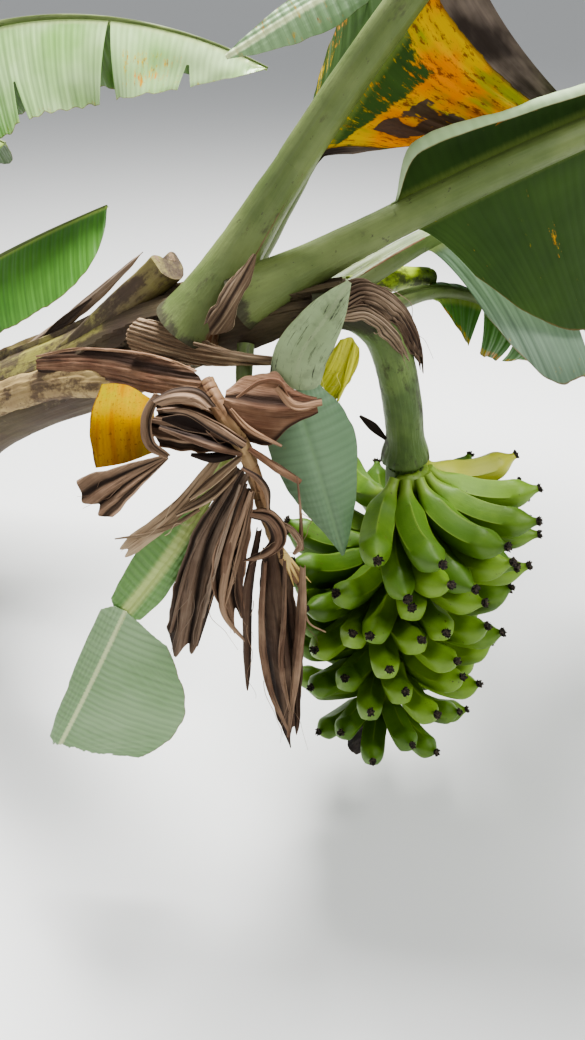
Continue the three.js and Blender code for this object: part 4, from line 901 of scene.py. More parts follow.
followerLeaves = {
    "low": dict(
        base=0.3, stalk=0.3, foot=24, neck=13, rib=(10, 3), seed=61,
        line=dict(start=(-150, 160, 560), heading=-10, rise=36, fall=14, length=1100),
        faces=[(-0.3, 0.2, 0.9), (-0.5, 0.3, 0.8)],
        left=dict(width=110, fold=60, bend=15, blunt=2.4), right=dict(width=250, fold=40, bend=15),
        tears=[(1, 0.5, 0.7, 0.02, 0.1)], blunt=5),
    "arching": dict(
        base=0.14, stalk=0.24, foot=22, neck=15, rib=(13, 3), seed=73,
        line=dict(start=(-135, 170, 870), heading=-9, rise=75, fall=99, sag=0.85, length=1640),
        faces=[(-0.5, 0.1, 0.8), (0.1, 0.1, 0.95)],
        left=dict(width=230, fold=50, bend=20), right=dict(width=270, fold=58, bend=14),
        tears=[(1, 0.7, 0, 0.03, 0.15), (1, 0.3, 0, 0.05, 0.1), (1, 0.5, 0.6, 0.02, 0.1), (1, 0.86, 0.5, 0.02, 0.1)],
        patches=[("yellow", 1, (0.72, 0.86), (0.35, 0.9), 0.38), ("yellow", 0, (0.0, 1.0), (0.95, 1.0), 0.4)],
        wave=10, ragged=0.12, paint="brightLeaf"),
    "front": dict(
        base=0.15, stalk=0.28, foot=22, neck=14, rib=(12, 3), seed=85,
        line=dict(start=(-140, 160, 830), heading=-27, rise=66, fall=82, sag=1.1, length=1080),
        faces=[(0, 0, 1), (0, 0.1, 1)],
        left=dict(width=150, fold=25, bend=40), right=dict(width=160, fold=35, bend=40),
        tears=[(-1, 0.55, 0, 0.05, 0.2), (1, 0.4, 0.6, 0.02, 0.1)], blunt=5),
    "left": dict(
        base=0.14, stalk=0.25, foot=22, neck=14, rib=(12, 3), seed=97,
        line=dict(start=(-155, 160, 820), heading=172, rise=66, fall=98, sag=1.2, length=1350),
        faces=[(0, 0, 1), (0, 0, 1)],
        left=dict(width=200, fold=15, bend=40), right=dict(width=200, fold=15, bend=40),
        tears=[(1, 0.5, 0, 0.05, 0.2), (-1, 0.35, 0.6, 0.02, 0.1), (-1, 0.7, 0.3, 0.03, 0.2)], wave=6),
    "rear": dict(
        base=0.14, stalk=0.25, foot=22, neck=14, rib=(12, 3), seed=109,
        line=dict(start=(-145, 175, 840), heading=98, rise=66, fall=90, sag=1.2, length=1300),
        faces=[(0, 0, 1), (0, 0, 1)],
        left=dict(width=190, fold=15, bend=40), right=dict(width=190, fold=15, bend=40),
        tears=[(-1, 0.45, 0, 0.06, 0.2), (1, 0.6, 0.4, 0.03, 0.2)], wave=6),
}
for prefix, plant in (("", leaves), ("follower_", followerLeaves)):
    for name, spec in plant.items():
        growLeaf(name, prefix, **spec)
print("leaves grown")


# Plain limbs: the cut stalk, the rolled new leaf, the bunch's stalk and core, and the dead stalks

def taper(thick, thin):  # a radius in mm that goes evenly from thick to thin
    return lambda f: thick + (thin - thick) * f


followerTop = makeLine(**stems["follower_stem"]["line"])[-1] / mm
bunchCore = {"x": 1457, "y": -910, "top": 879, "bottom": 230, "wide": 33, "narrow": 17}
coreEnds = [(bunchCore["x"], bunchCore["y"], bunchCore[end]) for end in ("top", "bottom")]
limbs = {
    "stalk_cut_off": dict(
        line=dict(through=[(1345, -905, 1188), (1413, -822, 1177), (1501, -692, 1137)]), face=(0, 1, 0.3),
        radius=taper(22, 19), paint="yellowStub", slot="leaf_yellow",
        shape=dict(relief=1.2, rings=60, sides=36, seed=4, ageAndShade=0.35)),
    "follower_spear": dict(
        line=dict(start=followerTop, heading=60, rise=86, fall=6, length=620), face=(0, 1, 0.3),
        radius=taper(20, 5), paint="greenStalk", slot="leaf_pale", outline=lambda turn, f: (
            1 + 0.08 * (np.mod(turn + 5 * f, 2 * np.pi) / np.pi - 1)),
        shape=dict(relief=0.4, rings=120, sides=48, seed=6, ageAndShade=0.0)),
    "bunch_stalk": dict(
        line=dict(through=[(1290, -955, 1178), (1348, -956, 1180), (1396, -938, 1140), (1430, -920, 1050),
                           (1450, -911, 950), (1457, -910, 879.65)]), face=(0.3, 1, 0.2),
        radius=lambda f: 32 + 10 * ease(f, 0.80, 0.966) ** 2 - 11 * ease(f, 0.967, 0.975), paint="bunchSkin",
        slot="stalk_green", outline=lambda turn, f: (
            1 + 0.012 * ease(f, 0.80, 1) * np.cos(17 * turn) + 0.05 * ease(f, 0.967, 0.98) * np.cos(22 * turn)
            + 0.03 * np.cos(3 * turn + 4 * f)),
        # Its foot at the throat is darkened with stain and painted shade
        shape=dict(relief=1.0, rings=220, sides=110, seed=8, ageAndShade=0.3, footStainAndShade=1.5, footReach=0.30)),
    "bunch_core": dict(
        line=dict(through=coreEnds), face=(0, 1, 0.3), radius=taper(bunchCore["wide"], bunchCore["narrow"]),
        paint="bunchSkin", slot="fruit_green",
        shape=dict(relief=1.4, rings=90, sides=40, seed=9)),
    "withered_bud": dict(
        line=dict(start=(1457, -910, 229.35), heading=185, rise=-60, fall=-5, length=118), face=(0, 1, 0),
        radius=lambda f: 15 + 6 * np.sin(f * 2.6), paint="darkBud", slot="bud_dark",
        shape=dict(relief=2.6, ridges=0.5, rings=60, sides=44, seed=10, ageAndShade=0.4, roundTip=True)),
    "low_leaf_stalk": dict(
        line=dict(through=[(1188, -950, 1120), (1182, -1000, 1050), (1166, -1026, 969)]), face=(0, 1, 0.3),
        radius=taper(14, 9), paint="greenStalk", slot="stalk_green",
        shape=dict(relief=0.6, rings=50, sides=24, seed=12, ageAndShade=0.3)),
    "dead_leaf_stalk": dict(
        line=dict(through=[(400, -360, 640), (520, -500, 765), (666, -636, 872), (856, -786, 982),
                           (1000, -908, 1040), (1080, -980, 1074)]), face=(0, -1, 0.6),
        radius=lambda f: 38 - 10 * f - 23 * ease(f, 0.78, 0.86), outline=flatOutline, paint="driedStalk",
        slot="leaf_yellow", shape=dict(relief=1.8, ridges=0.4, rings=170, sides=64, seed=14, ageAndShade=0.28)),
    "dead_leaf_rib": dict(
        line=dict(through=[(1129, -1021, 1090), (1170, -1072, 1042), (1196, -1087, 991), (1222, -1098, 888),
                           (1248, -1100, 813), (1276, -1098, 765)]), face=(0, 1, 0.3),
        radius=taper(14, 8), paint="snappedRib", slot="dry_brown",
        shape=dict(relief=1.4, ridges=0.3, rings=180, sides=30, seed=16, ageAndShade=0.1, joints=1.0)),
    "stub_sheath": dict(
        line=dict(through=[(730, -600, 900), (816, -676, 961), (988, -806, 1138), (1062, -838, 1211)]),
        face=(-0.3, 0.3, 0.8), radius=lambda f: 56 - 25 * f**0.6, outline=troughOutline, paint="mottledStem",
        slot="stalk_green", shape=dict(relief=1.2, rings=110, sides=72, seed=18, driedRim=0.9, ageAndShade=0.2)),
}


def growLimb(name, line, face, radius, paint, slot, shape, outline=roundOutline):
    # Its radius is a function of the share along, in mm, and its shape holds what goes to limbShell
    rail = Rail(makeLine(**line), face)
    makePiece(name, [limbShell(rail, radius, outline, **shape)], paint)


for name, spec in limbs.items():
    growLimb(name, **spec)

fibres = {
    "dead_leaf_fibres": dict(
        foot=(1244, -1104, 838), tips=[(1262, -1116, 776), (1276, -1114, 770), (1290, -1108, 776)], thick=5, thin=0.6,
        paint="paleFibre", slot="dry_brown", nodes=["dead_leaf_rib"],
        shape=dict(rings=30, sides=10, relief=0.3, ageAndShade=-0.3)),
}


def growFibres(name, foot, tips, thick, thin, paint, slot, nodes, shape):
    # Slim pointed shreds that part from one end, each straight to its tip
    shells = []
    for k, tip in enumerate(tips):
        rail = Rail(makeLine(through=[foot, [(a + b) / 2 for a, b in zip(foot, tip)], tip]), (0, -1, 0.3))
        shells.append(limbShell(rail, taper(thick, thin), flatOutline, seed=k, **shape))
    makePiece(name, shells, paint, nodes)


for name, spec in fibres.items():
    growFibres(name, **spec)
print("limbs grown")


# The bunch. A hand has its height, where it faces and how far it reaches round (degrees), its fruits and their
# length, how far they droop at the stalk and lift at the tip (degrees), and the number of a ripe one.

hands = [
    dict(z=858, faces=-40, span=176, fruits=12, length=228, droop=54, lift=20, ripe=10),
    dict(z=786, faces=14, span=236, fruits=13, length=226, droop=52, lift=34),
    dict(z=700, faces=-168, span=220, fruits=12, length=206, droop=44, lift=40),
    dict(z=616, faces=-62, span=230, fruits=12, length=214, droop=50, lift=48),
    dict(z=548, faces=104, span=228, fruits=11, length=200, droop=44, lift=44),
    dict(z=470, faces=-66, span=240, fruits=12, length=194, droop=48, lift=50),
    dict(z=398, faces=84, span=228, fruits=10, length=178, droop=42, lift=44),
    dict(z=330, faces=-84, span=228, fruits=9, length=164, droop=52, lift=36),
]
fruitShape = {
    # Two radii, the length of the thinner fruit, and how much longer the thick one is
    "thick": 27, "thinner": 24, "thinnerAt": 150, "perLength": 80,
    "rows": 30, "stagger": 9, "swing": 0.3, "sweep": 10,  # the rows' distance, and how they lean and swing round
    "steps": 50, "rings": 33, "tipRings": (0.93, 0.95, 0.965, 0.974, 0.981, 0.988, 0.995), "sides": 30,
    "flatness": 0.85, "meanSide": 0.93, "stalk": 0.38, "neck": 0.76, "tipDark": 0.972, "raggedBy": 3}
cushion = {"rings": 40, "sides": 20, "sunk": 2, "deep": 15, "high": 22, "lumps": 0.10, "lumpSpan": 9}


def seeded(seed):  # random numbers from 0 to 1, the same in every run
    state = seed
    while True:
        state = (state * 1664525 + 1013904223) % 4294967296
        yield state / 4294967296


def fruitShell(azimuth, swing, base, length, thick, droop, lift, luck):
    # The centreline leaves pointing down and bows up and round to the tip. The section is a rounded pentagon
    # with flat sides. Along, it swells from a thin stalk, stays plump, and shuts to a short neck and a ragged end.
    shape = fruitShape
    steps = shape["steps"]

    def wayAt(f):
        slope = np.radians(-droop + (droop + lift) * f**0.8)
        turned = np.radians(azimuth + swing * f)
        return np.stack([np.cos(slope) * np.cos(turned), np.cos(slope) * np.sin(turned), np.sin(slope)], axis=-1)

    middles = (np.arange(steps) + 0.5) / steps
    spine = base + np.vstack([np.zeros(3), np.cumsum(wayAt(middles), axis=0)]) * length / steps
    f = np.sort(np.concatenate([np.linspace(0, 1, shape["rings"]), shape["tipRings"]]))[:, None]
    along = wayAt(f)
    across = unit(np.stack([-along[..., 1], along[..., 0], 0 * along[..., 0]], axis=-1))
    up = -np.cross(across, along)
    at = np.stack([np.interp(f, np.linspace(0, 1, steps + 1), spine[:, k]) for k in range(3)], axis=-1)
    # A regular pentagon's edge lies at cos 36 over cos of the angle from the middle of its side
    fifth = 2 * np.pi / 5
    a = fifth / 4 + np.linspace(0, 2 * np.pi, shape["sides"], endpoint=False)[None, :]
    fromRidge = np.abs(np.mod(a - fifth / 4 + fifth / 2, fifth) - fifth / 2)
    pentagon = np.cos(fifth / 2) / np.cos(fifth / 2 - fromRidge)
    body = shape["stalk"] + (1 - shape["stalk"]) * ease(f, 0.05, 0.32)
    body = body * (1 - shape["neck"] * ease(f, 0.74, 0.975) ** 1.8) * (1 - 0.3 * ease(f, 0.985, 1))
    plump = ease(f, 0.08, 0.3) * (1 - 0.8 * ease(f, 0.66, 0.92))
    radius = thick * body * (1 + shape["flatness"] * plump * (pentagon - shape["meanSide"]))
    crisp = ease(f, shape["tipDark"], shape["tipDark"] + 0.008)
    ragged = chance(np.stack(np.broadcast_arrays(f * 977, a * 31, luck), axis=-1))
    radius = radius * (1 + crisp * (0.1 + 0.55 * ragged))
    at = at + along * (crisp * shape["raggedBy"] * mm * ragged)[..., None]
    points = at + radius[..., None] * mm * (np.cos(a)[..., None] * across + np.sin(a)[..., None] * up)
    ridge = (1 - fromRidge / (fifth / 2)) ** 3
    maps = dict(fruitPlace=[radius * mm * np.cos(a), radius * mm * np.sin(a), f + 0 * a],
                fruitState=[ridge * plump, ease(f, shape["tipDark"] - 0.02, shape["tipDark"] + 0.02), luck])
    return points, tubeFaces(len(f), shape["sides"]), maps


def cushionShell(z, faces, span, coreRadius):
    # A fleshy pad on the core: an oval section carried round an arc, thinner at both ends
    pad = cushion
    f = np.linspace(0, 1, pad["rings"])[:, None]
    a = np.linspace(0, 2 * np.pi, pad["sides"], endpoint=False)[None, :]
    turned = np.radians(faces + span * (f - 0.5))
    end = np.sqrt(np.maximum(1 - (2 * f - 1) ** 8, 0.02))
    lumps = 1 + pad["lumps"] * roll(f * span / pad["lumpSpan"], np.cos(a), seed=int(z))
    out = coreRadius - pad["sunk"] + pad["deep"] * end * lumps * np.cos(a)
    high = z + pad["high"] * end * lumps * np.sin(a)
    points = np.stack([bunchCore["x"] + out * np.cos(turned), bunchCore["y"] + out * np.sin(turned), high], -1) * mm
    maps = dict(fruitPlace=[0.02 * np.cos(a), 0.02 * np.sin(a), 0.0 * f], fruitState=[0.0, 0.0, 0.3])
    return points, tubeFaces(pad["rings"], pad["sides"]), maps


def growHand(name, z, faces, span, fruits, length, droop, lift, ripe=None):
    # Two rows of fruits on one cushion, which swing towards the hand's middle
    shape, core = fruitShape, bunchCore
    height = core["top"] - core["bottom"]
    coreRadius = core["narrow"] + (core["wide"] - core["narrow"]) * (z - core["bottom"]) / height
    luck = seeded(z)
    shells = [cushionShell(z, faces, span, coreRadius)]
    for k in range(fruits):
        upper = 0.5 if k % 2 == 0 else -0.5
        aside = span * 0.92 * (k / (fruits - 1) - 0.5) + 5 * (next(luck) - 0.5)
        turned = math.radians(faces + aside)
        reach = coreRadius + 8
        base = np.array([core["x"] + reach * math.cos(turned), core["y"] + reach * math.sin(turned),
                         z + upper * shape["rows"]]) * mm
        long = length * (0.97 if upper > 0 else 1.02) * (1 + 0.08 * (next(luck) - 0.5))
        thicker = shape["thick"] - shape["thinner"]
        thick = shape["thinner"] + thicker * (length - shape["thinnerAt"]) / shape["perLength"]
        ripeness = 1.0 if k == ripe else 0.42 + 0.42 * math.sin(k * 12.9898 + z)
        shells.append(fruitShell(
            faces + aside, shape["sweep"] - aside * shape["swing"], base, long * mm, thick,
            droop - upper * shape["stagger"], lift + upper * shape["stagger"] + 6 * (next(luck) - 0.5), ripeness))
    makePiece(name, shells, "fruitSkin")


for k, spec in enumerate(hands):
    growHand(f"hand_{k + 1}", **spec)
print("bunch grown")


# Torn, hanging and dried pieces: thin strips along a line. A strip's dark share paints shade over it, and a narrow
# strip with a high dark share is a sheet of painted shade in a hollow.

toFront = [(0, -1, 0.5)]
thread = {"rings": 26, "sides": 5, "thick": 0.7, "wander": 0.010, "float": 0.008, "rise": 0.01}
stripForm = {"pleatRate": 900, "ribWide": 0.006, "slowFold": (2.2, 2.4), "foldMix": (0.75, 0.25), "rough": (9, 26)}


def threadShell(rail, seed, first, last, aside, drift):
    # A loose fibre: a thin tube that wanders off the strip towards its end
    f = np.linspace(first, last, thread["rings"])[:, None]
    a = np.linspace(0, 2 * np.pi, thread["sides"], endpoint=False)[None, :]
    at, along, up, side = rail.read(f)
    beyond = np.maximum(f - 1, 0) * rail.length
    share = (f - first) / (last - first)
    at = at + side * (aside + drift * share**2 + thread["wander"] * roll(f * 7, seed=seed))[..., None]
    at = at + up * (thread["float"] * roll(f * 6, seed=seed + 1) + thread["rise"] * share)[..., None]
    at = at + along * beyond[..., None]
    radius = thread["thick"] * mm * (1 - 0.6 * share)
    points = at + radius[..., None] * (np.cos(a)[..., None] * side + np.sin(a)[..., None] * up)
    maps = dict(stripPlace=[mm * a + 0 * f, f * rail.length, 0.5],
                stripState=[0.3, 0.3, 0.5 + 0.5 * chance([seed, 0, 0])],
                leafPlace=[mm * a, f * rail.length, 0.5], leafState=[0.0, 0.0, 0.0])
    return points, tubeFaces(thread["rings"], thread["sides"]), maps


def stripShell(through, faces, left, seed, right=None, starts=(0, 0), ends=(1, 1), cup=0, rows=100, columns=26,
               thick=1.3, crumple=1.5, folds=0, foldDepth=0, pleat=0, rag=0.03, fray=0.0, rib=0.0, turn=0.0,
               dark=0.0, yellow=0.0, under=0.0):
    # Half widths to each side, cupped down evenly by twice the cup's angle. It starts and ends at its own share in
    # each column. Lengthwise folds drift slowly, hills and pleats lie over them, a rib is pressed in along the
    # middle, and a share of each column's end is torn back. The last four go to the finishes: dark is painted shade
    # laid over the whole strip, and the depth of the folds' valleys is painted as shade too.
    form = stripForm
    rail = Rail(makeLine(through=through), faces)
    s = np.linspace(-1, 1, columns)[None, :]
    first, last = flow(starts, (s + 1) / 2), flow(ends, (s + 1) / 2)
    rowShare = np.linspace(0, 1, rows)[:, None]
    g = first + (last - first) * rowShare
    metres = g * rail.length
    half = np.where(s < 0, flow(left, g), flow(right or left, g)) * mm
    edge = np.sign(s) * 3
    half = half * (1 - rag * (1 + 1.5 * roll(metres * 16, edge, seed=seed) + roll(metres * 55, edge, seed=seed + 1)))
    theta = np.maximum(np.radians(2 * abs(cup)) * np.abs(s), 1e-6)
    steps = half * s * np.sin(theta) / theta
    drop = half * np.abs(s) * (1 - np.cos(theta)) / theta * np.sign(cup)
    phase = np.pi * folds * s + form["slowFold"][0] * roll(metres * form["slowFold"][1], s, seed=seed + 2)
    wavy = form["foldMix"][0] * np.sin(phase) + form["foldMix"][1] * np.sin(2.3 * phase + 1)
    # How deep each point lies in a fold's valley, which the finish paints as shade
    creaseShade = 0.5 - 0.5 * wavy if folds else 0.5 * np.abs(roll(s * 2, metres * 9, seed=seed))
    hills = roll(metres * form["rough"][0], s * 1.3, seed=seed + 3)
    hills = hills + 0.4 * roll(metres * form["rough"][1], s * 4, seed=seed + 4)
    slack = half / half.max()
    pleats = pleat * np.sin(half * s * form["pleatRate"] + roll(metres * 5, seed=seed))
    pressed = rib * np.exp(-(half * s / form["ribWide"]) ** 2)
    lift = (foldDepth * wavy + crumple * hills) * slack + pleats - pressed
    at, along, up, side = rail.read(g)
    points = at + steps[..., None] * side + (lift * mm - drop)[..., None] * up
    number = np.arange(columns - 1)[None, :]
    jagged = chance(np.stack([number, 0 * number, 0 * number], -1), seed)
    torn = 0.5 + 0.5 * roll(number * 0.37, seed=seed + 5) + 0.25 * jagged
    gone = (rowShare[1:] + rowShare[:-1]) / 2 > 1 - fray * torn
    maps = dict(stripPlace=[half * s, metres, np.abs(s)],
                # Painted shade: the deeper of the fold valley's and the strip's dark share
                stripState=[np.maximum(creaseShade, dark), turn, 0.5 + 0.5 * math.sin(seed)],
                leafPlace=[half * s, metres, np.abs(s)], leafState=[under, yellow, 0.0])
    return sheetShell(points, thick * mm, gone, maps)


def growRibbon(name, paint, strips, seed, slot="dry_brown", threads=0):
    # Its strips, and threads that leave them in turn near their ends
    shells = [stripShell(seed=seed + 7 * k, **strip) for k, strip in enumerate(strips)]
    for k in range(threads):
        strip = strips[k % len(strips)]
        rail = Rail(makeLine(through=strip["through"]), strip["faces"])
        luck = chance([[k, 0, 0], [k, 1, 0], [k, 2, 0]], seed)
        shells.append(threadShell(rail, seed + k, 0.45 + 0.25 * luck[0], 0.98 + 0.04 * luck[1], 0.012 * luck[2],
                                  0.02 * luck[0]))
    makePiece(name, shells, paint)


def tornLeaf(through, faces, left, right=None, **more):  # one strip: its points, faces, half widths and the rest
    return dict(through=through, faces=faces, left=left, right=right, **more)


